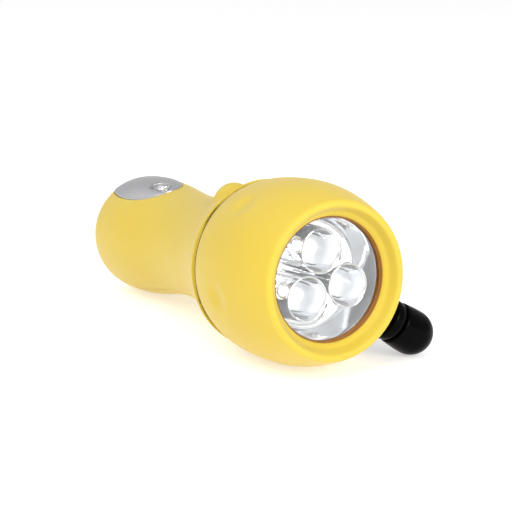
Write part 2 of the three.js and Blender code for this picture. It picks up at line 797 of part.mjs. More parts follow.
const pinFlange = 3.4;
const pinRadius = 2;
let arm = raised(strap(0, hubRadius, crankLength, armEnd), armLow, armHigh, 10);
arm = arm.add(disc(hubRadius - 1, armHigh - 0.5, armHigh + 2, 20));
arm = arm.subtract(disc(squareSide + 0.15, armLow - 1, shaftTop + seatGap, 6));
arm = arm.subtract(disc(1.8, shaftTop, armHigh + 5, 16));
arm = arm.subtract(disc(3.8, armHigh + 0.2, armHigh + 5));
arm = arm.subtract(disc(pinRadius + 0.1, armLow - 1, armHigh + 1, 16, crankLength, 0));
arm = arm.subtract(disc(pinFlange + 0.2, armLow - 1, armLow + 1.2, 16, crankLength, 0));
add(crank, "crank_arm", arm, black);

const screwSeat = armHigh + 0.4;
const screwSlots = [0, Math.PI / 2].map((turn) => {
  const geometry = new THREE.BoxGeometry(4.4, 0.8, 2);
  geometry.rotateZ(turn);
  geometry.translate(0, 0, screwSeat + 1.8);
  return solid(geometry);
});
add(crank, "crank_screw",
  turned([
    [shaftTop - 6, 0],
    [shaftTop - 6, 1.3],
    [screwSeat, 1.3],
    [screwSeat, 3.4],
    [screwSeat + 0.9, 3.2],
    [screwSeat + 1.5, 2.2],
    [screwSeat + 1.5, 0],
  ], 16).subtract(screwSlots[0]).subtract(screwSlots[1]), steel);

// ---------------------------------------------------------------- knob on its pin

const knobLow = armHigh + 0.4;
const knobTip = knobLow + knobLength;
const knobBallHeight = knobTip - knobRadius;
const knobFoot = knobRadius - 0.4;
const pinTop = knobTip - 3;
add(crank, "knob_pin",
  turned([
    [armLow + 0.1, 0],
    [armLow + 0.1, pinFlange],
    [armLow + 1, pinFlange],
    [armLow + 1, pinRadius],
    [pinTop, pinRadius],
    [pinTop, 0],
  ], 16, crankLength, 0), steel);

const knob = new THREE.Group();
knob.name = "knob";
knob.position.x = crankLength;
crank.add(knob);
const knobOutline = [
  [knobLow, bore(pinRadius, runningGap, 20)],
  [knobLow, knobFoot - 0.5],
  [knobLow + 0.4, knobFoot],
];
for (const u of [0.35, 0.7, 1]) {
  const swell = Math.sin((u * Math.PI) / 2);
  knobOutline.push([
    knobLow + 0.4 + u * (knobBallHeight - knobLow - 0.4),
    knobFoot + (knobRadius - knobFoot) * swell,
  ]);
}
for (const turn of [22, 44, 66].map(radians)) {
  knobOutline.push([knobBallHeight + knobRadius * Math.sin(turn), knobRadius * Math.cos(turn)]);
}
knobOutline.push([knobTip, 0], [pinTop + 0.3, 0], [pinTop + 0.3, bore(pinRadius, runningGap, 20)]);
knobOutline.push(knobOutline[0]);
add(knob, "crank_knob", turned(knobOutline, 20), black);

// ---------------------------------------------------------------- switch plate, button and switch

const plateHigh = handleSurface(buttonStation) + plateProud;
const flangeRadius = buttonRadius + 1;
const innerRadius = handleSurface(buttonStation - flangeRadius) - wall;
const shellFloor = Math.sqrt(innerRadius ** 2 - flangeRadius ** 2) - 0.2;
let topPlate = handleBody(plateProud)
  .subtract(handleBody(plateProud - plateThickness))
  .intersect(raised(plateOutline(0), 4, 30, 16));
for (const station of pegStations) {
  const top = handleSurface(station) + plateProud - plateThickness / 2;
  topPlate = topPlate.add(disc(pegRadius, top - wall - 0.6, top, 12, -station, 0));
}
topPlate = topPlate.subtract(disc(bore(buttonRadius, 0.15), 5, 30, 16, -buttonStation, 0));
topPlate = topPlate.subtract(
  sphere(1, -(buttonStation + 1.6), 0, plateHigh + 0.6, [5.2, 3.7, 1.2], 14),
);
add(torch, "top_plate", topPlate, satin);

const button = new THREE.Group();
button.name = "button";
torch.add(button);
const buttonFlange = shellFloor - seatGap;
const stemFoot = buttonFlange - 1.2;
const buttonOutline = [
  [stemFoot, 0],
  [stemFoot, flangeRadius],
  [buttonFlange, flangeRadius],
  [buttonFlange, buttonRadius],
  [plateHigh + 0.2, buttonRadius],
];
for (const u of [0.4, 0.75]) {
  buttonOutline.push([
    plateHigh + 0.2 + (buttonRise - 0.2) * u,
    buttonRadius * Math.sqrt(1 - u * u),
  ]);
}
buttonOutline.push([plateHigh + buttonRise, 0]);
add(button, "push_button", turned(buttonOutline, 16, -buttonStation, 0), chrome);

const plungerTop = stemFoot - 0.2;
const switchTop = plungerTop - buttonTravel - 0.4;
const switchHeight = 2.8;
const switchHalf = 3;
add(button, "switch_plunger",
  disc(1.4, switchTop - 1.2, plungerTop, 16, -buttonStation, 0), black);
add(torch, "push_switch",
  block(
    [-buttonStation - switchHalf, -switchHalf, switchTop - switchHeight],
    [-buttonStation + switchHalf, switchHalf, switchTop],
  ).subtract(
    disc(bore(1.4, 0.1), switchTop - 1.2 - buttonTravel - 0.2, switchTop + 1, 16, -buttonStation, 0),
  ), black);

// The control board hangs on two posts under the plate.
const boardTop = switchTop - switchHeight - seatGap;
const boardBottom = boardTop - 1;
const boardFront = buttonStation - 6.6;
const boardRear = buttonStation + 6.6;
let controlBoard = block([-boardRear, -5, boardBottom], [-boardFront, 5, boardTop]);
const boardPosts = [buttonStation - 5, buttonStation + 5];
boardPosts.forEach((station, i) => {
  controlBoard = controlBoard.subtract(disc(0.9, boardBottom - 1, boardTop + 1, 12, -station, 0));
  gripShell = gripShell
    .add(disc(1.7, boardTop + seatGap, 30, 12, -station, 0)
      .intersect(postLimit))
    .subtract(disc(0.9, boardTop - 1, boardTop + 4, 12, -station, 0));
  const low = boardBottom - seatGap;
  add(torch, `board_screw_${i + 1}`,
    turned([
      [low - 0.7, 0],
      [low - 0.7, 1.4],
      [low, 1.4],
      [low, 0.7],
      [boardTop + 3.5, 0.7],
      [boardTop + 3.5, 0],
    ], 12, -station, 0), steel);
});
add(torch, "control_board", controlBoard, board);
const rectifierLow = [-buttonStation - 1.5, -4.6, boardBottom - 2];
const rectifierHigh = [-buttonStation + 1.5, -1.2, boardBottom - 0.2];
add(torch, "rectifier", block(rectifierLow, rectifierHigh), black);
add(torch, "capacitor",
  disc(1.3, boardBottom - 3.4, boardBottom - 0.2, 16, -(buttonStation + 3.2), -3.2), satin);

// ---------------------------------------------------------------- battery in its cradle

const cellStart = cradleFlangeStation;
const cellsEnd = cellStart + cellCount * (cellThickness + seatGap);
const cradleBore = cellRadius + seatGap;
const cradleOuter = cradleBore + 1.2;
let cradle = turnedAlong([
  [cradleFlangeStation, cradleBore],
  [cradleFlangeStation, spigotInner - seatGap],
  [cradleShoulder - seatGap, spigotInner - seatGap],
  [cradleShoulder - seatGap, cradleOuter],
  [cellsEnd + 1, cradleOuter],
  [cellsEnd + 1, 0],
  [cellsEnd, 0],
  [cellsEnd, cradleBore],
  [cradleFlangeStation, cradleBore],
], 24);
for (let i = 0; i < cellCount; i++) {
  const from = cellStart + i * (cellThickness + seatGap);
  add(torch, `battery_cell_${i + 1}`, discAlong(cellRadius, from, from + cellThickness, 20), sleeve);
}

// ---------------------------------------------------------------- internal leads

// Each lead runs on the side away from the gears, through a notch in the cradle's flange.
const leadRadius = 0.45;
const leadSide = 12.6 * Math.SQRT1_2;
const leadFoot = boardBottom - 0.3 - leadRadius;
const leadEnd = -(boardFront + 1.5);
[
  ["led_lead_1", 0.0, redWire],
  ["led_lead_2", 1.6, blackWire],
  ["battery_lead_1", 3.2, redWire],
].forEach(([name, shift, look]) => {
  const aside = shift * Math.SQRT1_2 - 1.1;
  const start = -(boardStation + boardThickness + leadRadius + 0.3);
  const points = [
    [start, -leadSide + aside, leadSide + aside],
    [-(cradleShoulder + 2), -leadSide + aside, leadSide + aside],
    [-(cellsEnd + 3), -8.4 + aside, 8.4 + aside],
    [-(neckStation - 5), -6 + 0.6 * aside, 6 + 0.6 * aside],
    [leadEnd + 3, -3.6 + aside, leadFoot - 0.4],
    [leadEnd, -3.4 + aside, leadFoot],
  ];
  add(torch, name, wire(points, leadRadius, 12), look);
  const notch = geometryOf(discAlong(leadRadius + 0.4, cradleFlangeStation - 1, cradleShoulder + 1, 12));
  notch.translate(0, -leadSide + aside, leadSide + aside);
  cradle = cradle.subtract(solid(notch));
});
const tabHole = geometryOf(discAlong(leadRadius + 0.5, cellsEnd - 0.5, cellsEnd + 2, 12));
tabHole.translate(0, -3.6, 3.6);
cradle = cradle.subtract(solid(tabHole));
add(torch, "battery_cradle", cradle, black);
add(torch, "battery_lead_2",
  wire([
    [-(cellsEnd + 0.3), -3.6, 3.6],
    [-(cellsEnd + 4), -4.4, 4.4],
    [-(neckStation - 5), -4.2, 4.2],
    [leadEnd + 4, 0.4, leadFoot - 1.4],
    [leadEnd, 3, leadFoot],
  ], leadRadius, 12), blackWire);

// The generator's leads leave the can's rear and pass round the gear plate's end.
const generatorLeads = [
  ["generator_lead_1", -1.2],
  ["generator_lead_2", 1.2],
];
for (const [name, y] of generatorLeads) {
  const edge = rotorStation + generatorRadius;
  const points = [
    [-(edge + leadRadius + 0.25), y, generatorLow + 2],
    [-(edge + 2), y, layerC],
    [-(edge + 0.6), 0.5 * y + 1, plateBottom - 5],
  ];
  add(drive, name, wire(points, leadRadius, 7), name.endsWith("1") ? redWire : blackWire);
}

add(torch, "grip_shell", gripShell, yellow);
add(torch, "crank_side_shell", crankShell, yellow);

// ---------------------------------------------------------------- at rest on a table

// The head's widest place and the bulb's widest place set how far the nose is lifted.
const pitch = Math.asin((headRadius - bulbRadius) / (bulbStation - headWidestStation));

// The torch leans until the knob's round end touches the table too.
const axisHeight = headRadius + headWidestStation * Math.sin(pitch);
const knobX = crankLength - crankStation;
const drop = axisHeight + knobX * Math.sin(pitch) - knobRadius;
const roll = radians(crankAngle) - Math.asin(drop / (knobBallHeight * Math.cos(pitch)));

torch.rotation.order = "ZYX";
torch.rotation.set(roll, -pitch, 0);
const box = new THREE.Box3().setFromObject(torch, true);
const centre = box.getCenter(new THREE.Vector3());
torch.position.set(-centre.x, -centre.y, -box.min.z);

const part = new THREE.Group();
part.add(torch);

export default part;
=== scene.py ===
import json

import bmesh
import bpy
import numpy as np
from mathutils import Matrix, Vector


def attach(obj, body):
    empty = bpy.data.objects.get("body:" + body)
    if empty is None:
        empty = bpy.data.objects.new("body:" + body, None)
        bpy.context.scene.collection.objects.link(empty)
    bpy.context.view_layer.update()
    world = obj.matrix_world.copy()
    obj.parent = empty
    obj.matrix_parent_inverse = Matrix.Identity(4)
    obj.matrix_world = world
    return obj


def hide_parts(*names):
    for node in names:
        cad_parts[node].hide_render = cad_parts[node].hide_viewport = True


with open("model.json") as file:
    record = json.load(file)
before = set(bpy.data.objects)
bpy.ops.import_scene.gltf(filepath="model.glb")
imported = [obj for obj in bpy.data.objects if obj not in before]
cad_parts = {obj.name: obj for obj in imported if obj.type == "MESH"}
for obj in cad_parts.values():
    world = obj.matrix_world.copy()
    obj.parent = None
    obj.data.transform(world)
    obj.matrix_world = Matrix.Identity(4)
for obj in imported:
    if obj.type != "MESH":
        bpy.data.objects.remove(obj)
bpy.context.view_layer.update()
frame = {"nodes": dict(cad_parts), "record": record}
record = frame["record"]

# ---------------------------------------------------------------- the torch's own axes
# A piece's lengths are millimetres from the front of the lens: forward, to the torch's left, and
# up towards the switch plate. A station is a distance behind the front of the lens. The table
# and the lights are placed in metres.

MM = 0.001
hinges = {joint["name"]: joint for joint in record["behaviour"]["joints"]}
crank_axis = np.array(hinges["crank_spin"]["axis"])
crank_foot = np.array(hinges["crank_spin"]["pos_m"])
knob_foot = np.array(hinges["knob_spin"]["pos_m"])
crank_station = 52.0
forward = knob_foot - crank_foot
forward = forward / np.linalg.norm(forward)
plate_up = -np.array(hinges["button_press"]["axis"])
plate_up /= np.linalg.norm(plate_up)
leftward = np.cross(plate_up, forward)
lens_centre = crank_foot + crank_station * MM * forward
torch_axes = np.array([forward, leftward, plate_up])
drive_axes = np.array([forward, np.cross(crank_axis, forward), crank_axis])

# ---------------------------------------------------------------- table, light and camera
# The torch lies on a plain pale table under a broad soft light, as on a product shelf.
# The camera looks back at the lens from the torch's front right, a little above it.

table_half = 4.0
table_glow = 0.48
corners = table_half * np.array([(-1, -1, 0), (1, -1, 0), (1, 1, 0), (-1, 1, 0)], float)
table_mesh = bpy.data.meshes.new("table")
table_mesh.from_pydata(corners.tolist(), [], [(0, 1, 2, 3)])
table = bpy.data.objects.new("table", table_mesh)
bpy.context.scene.collection.objects.link(table)

paper = bpy.data.materials.new("table_paper")
paper.use_nodes = True
paper_shader = paper.node_tree.nodes["Principled BSDF"]
paper_shader.inputs["Base Color"].default_value = (0.80, 0.80, 0.80, 1)
paper_shader.inputs["Roughness"].default_value = 0.7
paper_shader.inputs["Specular IOR Level"].default_value = 0.2
paper_shader.inputs["Emission Color"].default_value = (1, 1, 1, 1)
paper_shader.inputs["Emission Strength"].default_value = table_glow
table.data.materials.append(paper)

studio = bpy.data.worlds.new("studio")
studio.use_nodes = True
sky_nodes, sky_links = studio.node_tree.nodes, studio.node_tree.links
sky_strength = 1.02
sky_greys = [(0.10, 0.88), (0.22, 0.62), (0.42, 0.60), (0.55, 0.66)]
sky = sky_nodes["Background"]
sky_place = sky_nodes.new("ShaderNodeTexCoord")
sky_split = sky_nodes.new("ShaderNodeSeparateXYZ")
sky_ramp = sky_nodes.new("ShaderNodeValToRGB")
sky_links.new(sky_place.outputs["Generated"], sky_split.inputs[0])
sky_links.new(sky_split.outputs["Z"], sky_ramp.inputs["Fac"])
sky_links.new(sky_ramp.outputs["Color"], sky.inputs["Color"])
sky_ramp.color_ramp.elements[0].position = 0.0
sky_ramp.color_ramp.elements[0].color = (1.0, 1.0, 1.0, 1)
sky_ramp.color_ramp.elements[1].position = 1.0
sky_ramp.color_ramp.elements[1].color = (0.60, 0.61, 0.62, 1)
for height, grey in sky_greys:
    stop = sky_ramp.color_ramp.elements.new(height)
    stop.color = (grey, grey, grey, 1)
sky.inputs["Strength"].default_value = sky_strength
bpy.context.scene.world = studio
bpy.context.scene.view_settings.view_transform = "Standard"

# Each round soft box: its name, place, aim, width and watts.
soft_boxes = [
    ("key_light", (0.35, -0.75, 0.95), (0.0, 0.0, 0.03), 0.9, 7.0),
    ("lens_light", (0.95, 0.10, 0.42), (0.05, 0.0, 0.03), 0.6, 6.5),
    ("fill_light", (-0.75, -0.35, 0.75), (-0.02, 0.0, 0.02), 0.7, 0.8),
]
for name, place, aim, size, watts in soft_boxes:
    light = bpy.data.lights.new(name, "AREA")
    light.shape = "DISK"
    light.size = size
    light.energy = watts
    lamp = bpy.data.objects.new(name, light)
    lamp.location = place
    lamp.rotation_mode = "QUATERNION"
    lamp.rotation_quaternion = (Vector(aim) - Vector(place)).to_track_quat("-Z", "Y")
    bpy.context.scene.collection.objects.link(lamp)

camera_stand = np.array([223.63, -130.48, 83.99])
camera_place = lens_centre + MM * camera_stand @ torch_axes
camera_right = np.array([0.494, 0.8364, -0.2382]) @ torch_axes
camera_back = np.array([0.861, -0.4306, 0.2722]) @ torch_axes
camera_up = np.cross(camera_back, camera_right)
camera_data = bpy.data.cameras.new("camera")
camera_data.sensor_width = 36.0
camera_data.lens = 73.83
camera_data.clip_start = 0.01
camera_data.clip_end = 20.0
camera = bpy.data.objects.new("camera", camera_data)
camera.location = camera_place
camera.rotation_mode = "QUATERNION"
camera.rotation_quaternion = Matrix(
    np.column_stack([camera_right, camera_up, camera_back]).tolist()).to_quaternion()
bpy.context.scene.collection.objects.link(camera)
bpy.context.scene.camera = camera

# ---------------------------------------------------------------- head shell
# The barrel head is one moulding in yellow soft-touch plastic, with six shallow thumb
# dimples round its widest place and a rolled lip that stands in front of the lens.
# It is pushed over the handle's spigot, and stops short of the handle by the seam.

lens_radius = 16.1
lip_height = 4.6
lip_width = 4.68
head_radius = 25.3
widest_station = 15.0
seam_station = 30.1
seam_radius = 23.5
head_bore = 21.5
lens_seat = 17.9
lens_ledge = 2.8
head_clocking = np.radians(-4.5)
dimple_count = 6
dimple_half_length = 5.36
dimple_half_width = 4.82
dimple_height = 2.4
dimple_depth = 0.8
soft_edge = 0.5
head_sides = 420


def turned_axes(angle):
    """The torch's axes, with the left and up axes turned about the forward one by an angle."""
    c, s = np.cos(angle), np.sin(angle)
    return np.array([forward, c * leftward + s * plate_up, c * plate_up - s * leftward])


head_axes = turned_axes(head_clocking)


def grid_faces(rows, columns, rows_close=False, columns_close=True):
    """Quads between neighbours of a grid of points listed row by row."""
    r = np.arange(rows if rows_close else rows - 1)
    c = np.arange(columns if columns_close else columns - 1)
    r, c = np.meshgrid(r, c, indexing="ij")
    r2, c2 = (r + 1) % rows, (c + 1) % columns
    quads = np.stack([r * columns + c, r * columns + c2, r2 * columns + c2, r2 * columns + c], -1)
    return quads.reshape(-1, 4)


def crisp(mesh, sharp=35.0):
    """Smooth shading over a mesh, with the edges over a sharp angle left crisp."""
    mesh.shade_smooth()
    mesh.set_sharp_from_angle(angle=np.radians(sharp))


def piece_from(name, points, faces, axes, sharp=40.0):
    """A closed piece from points in millimetres along a set of axes through the lens centre.

    Doubled points at seams and poles are merged, and edges over the sharp angle stay crisp.
    """
    placed = lens_centre + MM * np.asarray(points, float).reshape(-1, 3) @ axes
    mesh = bpy.data.meshes.new(name)
    mesh.from_pydata(placed.tolist(), [], [list(f) for f in faces])
    work = bmesh.new()
    work.from_mesh(mesh)
    bmesh.ops.remove_doubles(work, verts=work.verts, dist=2e-7)
    bmesh.ops.dissolve_degenerate(work, edges=work.edges, dist=1e-8)
    bmesh.ops.recalc_face_normals(work, faces=work.faces)
    work.to_mesh(mesh)
    work.free()
    crisp(mesh, sharp)
    piece = bpy.data.objects.new(name, mesh)
    bpy.context.scene.collection.objects.link(piece)
    return piece


def smooth_line(knots, steps):
    """Points along the Catmull-Rom curve through the knots, a number of steps to each span."""
    k = np.array(knots, float)
    k = np.vstack([2 * k[0] - k[1], k, 2 * k[-1] - k[-2]])
    t = np.linspace(0, 1, steps, endpoint=False)[:, None]
    a, b, c, d = k[:-3, None], k[1:-2, None], k[2:-1, None], k[3:, None]
    line = 0.5 * (2 * b + (c - a) * t + (2 * a - 5 * b + 4 * c - d) * t**2
                  + (3 * b - a - 3 * c + d) * t**3)
    return np.vstack([line.reshape(-1, 2), k[-2]])


def turned(outline, sides, centre=(0.0, 0.0), closed=False, radius_of=None):
    """Points and faces of an outline of [station, radius] turned about the torch's axis.

    Each point is (-station, r cos a + cy, r sin a + cz). A closed outline makes a ring, and
    radius_of(station, radius, angle) may change the radius round the turn.
    """
    outline = np.asarray(outline, float)
    angle = np.linspace(0, 2 * np.pi, sides, endpoint=False)
    station, radius = outline[:, :1] + 0 * angle, outline[:, 1:] + 0 * angle
    if radius_of is not None:
        radius = radius_of(station, radius, angle[None, :])
    points = np.stack([-station, radius * np.cos(angle) + centre[0],
                       radius * np.sin(angle) + centre[1]], -1)
    return points, grid_faces(len(outline), sides, rows_close=closed)


def head_surface(station):
    """Radius of the head: a parabola from the lip to the widest place, then a cubic fall."""
    ahead = np.clip((station + lip_height) / (widest_station + lip_height), 0, 1)
    behind = np.clip((station - widest_station) / (seam_station - widest_station), 0, 1)
    front = head_radius - (head_radius - lens_radius - lip_width) * (1 - ahead) ** 2
    rear = head_radius - (head_radius - seam_radius) * behind**3
    return np.where(station < widest_station, front, rear)


def softly_less(a, b, width):
    """The lower of two values, with the crease between them rounded over a width."""
    share = np.clip(0.5 + (b - a) / (2 * width), 0, 1)
    return b + (a - b) * share - width * share * (1 - share)


def with_dimples(station, radius, angle):
    """The outer radius cut by a flat ellipsoid at each dimple; inner radii are left alone.

    The ellipsoid stands over the head's widest radius by its height times
    1 - sqrt(1 - spread), less the dimple's depth. The spread is 0 at the dimple's middle.
    """
    pitch = 2 * np.pi / dimple_count
    across = (np.mod(angle + pitch / 2, pitch) - pitch / 2) * head_radius
    along = station - widest_station
    spread = (along / dimple_half_length) ** 2 + (across / dimple_half_width) ** 2
    floor = head_radius + dimple_height - dimple_depth - dimple_height * np.sqrt(
        np.clip(1 - spread, 0, 1))
    cut = softly_less(radius, floor, soft_edge)
    outer = (radius > head_bore + 1.0) & (station > 0) & (spread < 1.2)
    return np.where(outer, cut, radius)


lip_outer = smooth_line([
    (-4.25, 20.84), (-4.5, 20.5), (-4.6, 20.15), (-4.6, 19.6), (-4.5, 19.3), (-4.2, 19.0),
    (-3.5, 18.6), (-2.7, 18.2), (-2.1, 17.8), (-1.6, 17.2), (-1.25, 16.85), (-0.95, 16.62),
    (-0.45, 16.56), (-0.3, 16.6),
], 5)
flank_stations = np.concatenate([
    np.linspace(-3.95, 7.5, 22), np.linspace(7.9, 22.1, 64), np.linspace(22.6, 29.7, 14)])
seam_round = [(29.86, seam_radius + 0.02), (30.0, seam_radius - 0.06), (30.08, seam_radius - 0.2),
              (30.1, seam_radius - 0.4)]
head_outline = np.vstack([
    np.stack([flank_stations, head_surface(flank_stations)], -1),
    seam_round,
    [(seam_station, 22.2), (seam_station, head_bore), (16.0, head_bore), (lens_ledge, head_bore),
     (lens_ledge, 19.6), (lens_ledge, lens_seat), (1.2, lens_seat), (-0.3, lens_seat),
     (-0.3, 17.1)],
    lip_outer[::-1],
])
head_shell = piece_from(
    "head_shell_moulding",
    *turned(head_outline, head_sides, closed=True, radius_of=with_dimples),
    head_axes, sharp=50.0)


def group_of(name, inputs, outputs):
    """An empty shader node group with named sockets, and its input and output nodes."""
    group = bpy.data.node_groups.new(name, "ShaderNodeTree")
    for socket, kind, value in inputs:
        made = group.interface.new_socket(socket, in_out="INPUT", socket_type=kind)
        made.default_value = value
    for socket, kind in outputs:
        group.interface.new_socket(socket, in_out="OUTPUT", socket_type=kind)
    return group, group.nodes.new("NodeGroupInput"), group.nodes.new("NodeGroupOutput")


def noise_in(nodes, links, vector, scale_from, detail, rough):
    """A noise texture on a vector, its scale wired from a socket."""
    noise = nodes.new("ShaderNodeTexNoise")
    noise.inputs["Detail"].default_value = detail
    noise.inputs["Roughness"].default_value = rough
    links.new(vector, noise.inputs["Vector"])
    links.new(scale_from, noise.inputs["Scale"])
    return noise.outputs["Fac"]


def math_of(nodes, links, how, a, b):
    """A Math node of two values, each a socket or a number."""
    node = nodes.new("ShaderNodeMath")
    node.operation = how
    for socket, value in zip(node.inputs, (a, b)):
        if isinstance(value, (int, float)):
            socket.default_value = value
        else:
            links.new(value, socket)
    return node.outputs[0]


# Tone: slow cloudy drift between two tones of the same plastic, with sparse darker specks.
tone_group, tone_in, tone_out = group_of(
    "tone_drift",
    [("Vector", "NodeSocketVector", (0, 0, 0)), ("Tone", "NodeSocketColor", (0.5, 0.5, 0.5, 1)),
     ("Deep Tone", "NodeSocketColor", (0.4, 0.4, 0.4, 1)), ("Cloud Scale", "NodeSocketFloat", 40.0),
     ("Speck Scale", "NodeSocketFloat", 900.0), ("Speck Depth", "NodeSocketFloat", 0.2)],
    [("Color", "NodeSocketColor")])
tn, tl = tone_group.nodes, tone_group.links
cloud = noise_in(tn, tl, tone_in.outputs["Vector"], tone_in.outputs["Cloud Scale"], 3.0, 0.55)
speck = noise_in(tn, tl, tone_in.outputs["Vector"], tone_in.outputs["Speck Scale"], 1.0, 0.5)
speck_cutoff = 0.69
speck_mask = math_of(tn, tl, "GREATER_THAN", speck, speck_cutoff)
speck_share = math_of(tn, tl, "MULTIPLY", speck_mask, tone_in.outputs["Speck Depth"])
cloud_ramp = tn.new("ShaderNodeMapRange")
cloud_ramp.inputs["From Min"].default_value = 0.35
cloud_ramp.inputs["From Max"].default_value = 0.7
tl.new(cloud, cloud_ramp.inputs["Value"])
tone_share = math_of(tn, tl, "MAXIMUM", cloud_ramp.outputs["Result"], speck_share)
tone_mix = tn.new("ShaderNodeMix")
tone_mix.data_type = "RGBA"
tl.new(tone_share, tone_mix.inputs["Factor"])
tl.new(tone_in.outputs["Tone"], tone_mix.inputs["A"])
tl.new(tone_in.outputs["Deep Tone"], tone_mix.inputs["B"])
tl.new(tone_mix.outputs["Result"], tone_out.inputs["Color"])

# Skin: the fine relief that the mould or the cutter leaves, and the roughness that goes with it.
skin_group, skin_in, skin_out = group_of(
    "surface_skin",
    [("Vector", "NodeSocketVector", (0, 0, 0)), ("Grain Scale", "NodeSocketFloat", 3000.0),
     ("Rub Scale", "NodeSocketFloat", 60.0), ("Smoothest", "NodeSocketFloat", 0.3),
     ("Roughest", "NodeSocketFloat", 0.5)],
    [("Height", "NodeSocketFloat"), ("Roughness", "NodeSocketFloat")])
gn, gl = skin_group.nodes, skin_group.links
grain = noise_in(gn, gl, skin_in.outputs["Vector"], skin_in.outputs["Grain Scale"], 2.0, 0.6)
rub = noise_in(gn, gl, skin_in.outputs["Vector"], skin_in.outputs["Rub Scale"], 4.0, 0.6)
rub_range = gn.new("ShaderNodeMapRange")
rub_range.inputs["From Min"].default_value = 0.3
rub_range.inputs["From Max"].default_value = 0.7
gl.new(rub, rub_range.inputs["Value"])
gl.new(skin_in.outputs["Smoothest"], rub_range.inputs["To Min"])
gl.new(skin_in.outputs["Roughest"], rub_range.inputs["To Max"])
gl.new(rub_range.outputs["Result"], skin_out.inputs["Roughness"])
gl.new(grain, skin_out.inputs["Height"])


def finish_of(name, tone, deep, rough, grain=(3000.0, 0.02), cloud=40.0, specks=0.2, stretch=None,
              **sockets):
    """A material: toned base colour, roughness that varies with handling, and a fine grain.

    grain is (scale, bump distance in millimetres), and stretch scales the pattern along x, y
    and z. Other sockets of the shader are set to plain values.
    """
    made = bpy.data.materials.new(name)
    made.use_nodes = True
    nodes, links = made.node_tree.nodes, made.node_tree.links
    shader = nodes["Principled BSDF"]
    place = nodes.new("ShaderNodeTexCoord").outputs["Object"]
    if stretch is not None:
        mapping = nodes.new("ShaderNodeMapping")
        mapping.inputs["Scale"].default_value = stretch
        links.new(place, mapping.inputs["Vector"])
        place = mapping.outputs["Vector"]
    tone_node = nodes.new("ShaderNodeGroup")
    tone_node.node_tree = tone_group
    tone_node.inputs["Tone"].default_value = (*tone, 1)
    tone_node.inputs["Deep Tone"].default_value = (*deep, 1)
    tone_node.inputs["Cloud Scale"].default_value = cloud
    tone_node.inputs["Speck Depth"].default_value = specks
    skin_node = nodes.new("ShaderNodeGroup")
    skin_node.node_tree = skin_group
    skin_node.inputs["Grain Scale"].default_value = grain[0]
    skin_node.inputs["Smoothest"].default_value = rough[0]
    skin_node.inputs["Roughest"].default_value = rough[1]
    bump = nodes.new("ShaderNodeBump")
    bump.inputs["Distance"].default_value = grain[1] * MM
    links.new(place, tone_node.inputs["Vector"])
    links.new(place, skin_node.inputs["Vector"])
    links.new(skin_node.outputs["Height"], bump.inputs["Height"])
    links.new(tone_node.outputs["Color"], shader.inputs["Base Color"])
    links.new(skin_node.outputs["Roughness"], shader.inputs["Roughness"])
    links.new(bump.outputs["Normal"], shader.inputs["Normal"])
    for socket, value in sockets.items():
        shader.inputs[socket.replace("_", " ")].default_value = value
    return made


def fit(piece, look, body, material_slot, *nodes):
    """Gives a piece its finish, and says which body it rides on and what it stands for."""
    piece.data.materials.clear()
    piece.data.materials.append(look)
    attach(piece, body)
    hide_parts(*nodes)


soft_yellow = finish_of(
    "soft_touch_yellow", (0.61, 0.445, 0.043), (0.59, 0.425, 0.034), (0.50, 0.60),
    grain=(2600.0, 0.012), cloud=28.0, specks=0.15, Sheen_Weight=0.22, Sheen_Roughness=0.45,
    Sheen_Tint=(0.95, 0.88, 0.82, 1), Specular_IOR_Level=0.4)
fit(head_shell, soft_yellow, "torch_body", "yellow_plastic", "head_shell")

# ---------------------------------------------------------------- seam gasket
# A thin soft ring of black rubber closes the seam between the head and the handle.
# It is stretched round the spigot, and its round face sits a little below both edges.

seam_outline = [(30.25, 21.5), (30.25, 23.2), (30.3, 23.33), (30.38, 23.39), (30.45, 23.4),
                (30.52, 23.39), (30.6, 23.33), (30.65, 23.2), (30.65, 21.5)]
seam_gasket = piece_from("seam_gasket_ring", *turned(seam_outline, 240, closed=True), torch_axes)
black_rubber = finish_of(
    "black_rubber", (0.018, 0.018, 0.02), (0.03, 0.03, 0.032), (0.45, 0.7),
    grain=(5000.0, 0.02), specks=0.6)
fit(seam_gasket, black_rubber, "torch_body", "black_rubber", "seam_gasket")

# ---------------------------------------------------------------- handle shells
# Two half shells in the same yellow plastic, split on the plane square to the crank's shaft.
# Three screws in deep wells join them. A thumb bump stands behind the collar, a round boss
# carries the crank, and a pocket on top takes the switch plate.

collar_station = 30.8
collar_radius = 24.3
neck_station = 71.0
neck_radius = 16.2
bulb_radius = 19.8
bulb_station = 108.0
bulb_length = 17.15
flare_power = 2.15
tail_power = 3.2
collar_chamfer = 0.12
parting_gap = 0.2
bump_station = 42.2
bump_rear = 54.0
bump_middle = 16.0
bump_half = (7.0, 6.4, 7.2)
bump_sector = 0.8
bump_fillet = 0.9
skirt_rise = 0.2
skirt_fall = 3.0
boss_radius = 9.5
boss_top = 25.9
shaft_bore = 4.8
bore_foot = 2.9
well_radius = 2.6
well_floor = 6.5
screw_places = [(34.5, -13.96), (34.5, 13.96), (114.15, 0.0)]
skin_depth = 0.9
core_depth = 0.45
far = 60.0
behind_tail = -200.0
tool_top = 40.0


def handle_surface(station):
    """Radius of the handle: a flare behind the collar, a waist, and a round-ended bulb."""
    flare = np.clip((neck_station - station) / (neck_station - collar_station), 0, 1)
    swell = np.clip((station - neck_station) / (bulb_station - neck_station), 0, 1)
    tail = np.clip((station - bulb_station) / bulb_length, 0, 1)
    front = neck_radius + (collar_radius - neck_radius) * flare**flare_power
    middle = neck_radius + (bulb_radius - neck_radius) * (1 - np.cos(np.pi * swell)) / 2
    rear = bulb_radius * (1 - tail**tail_power) ** (1 / tail_power)
    return np.where(station < neck_station, front, np.where(station < bulb_station, middle, rear))


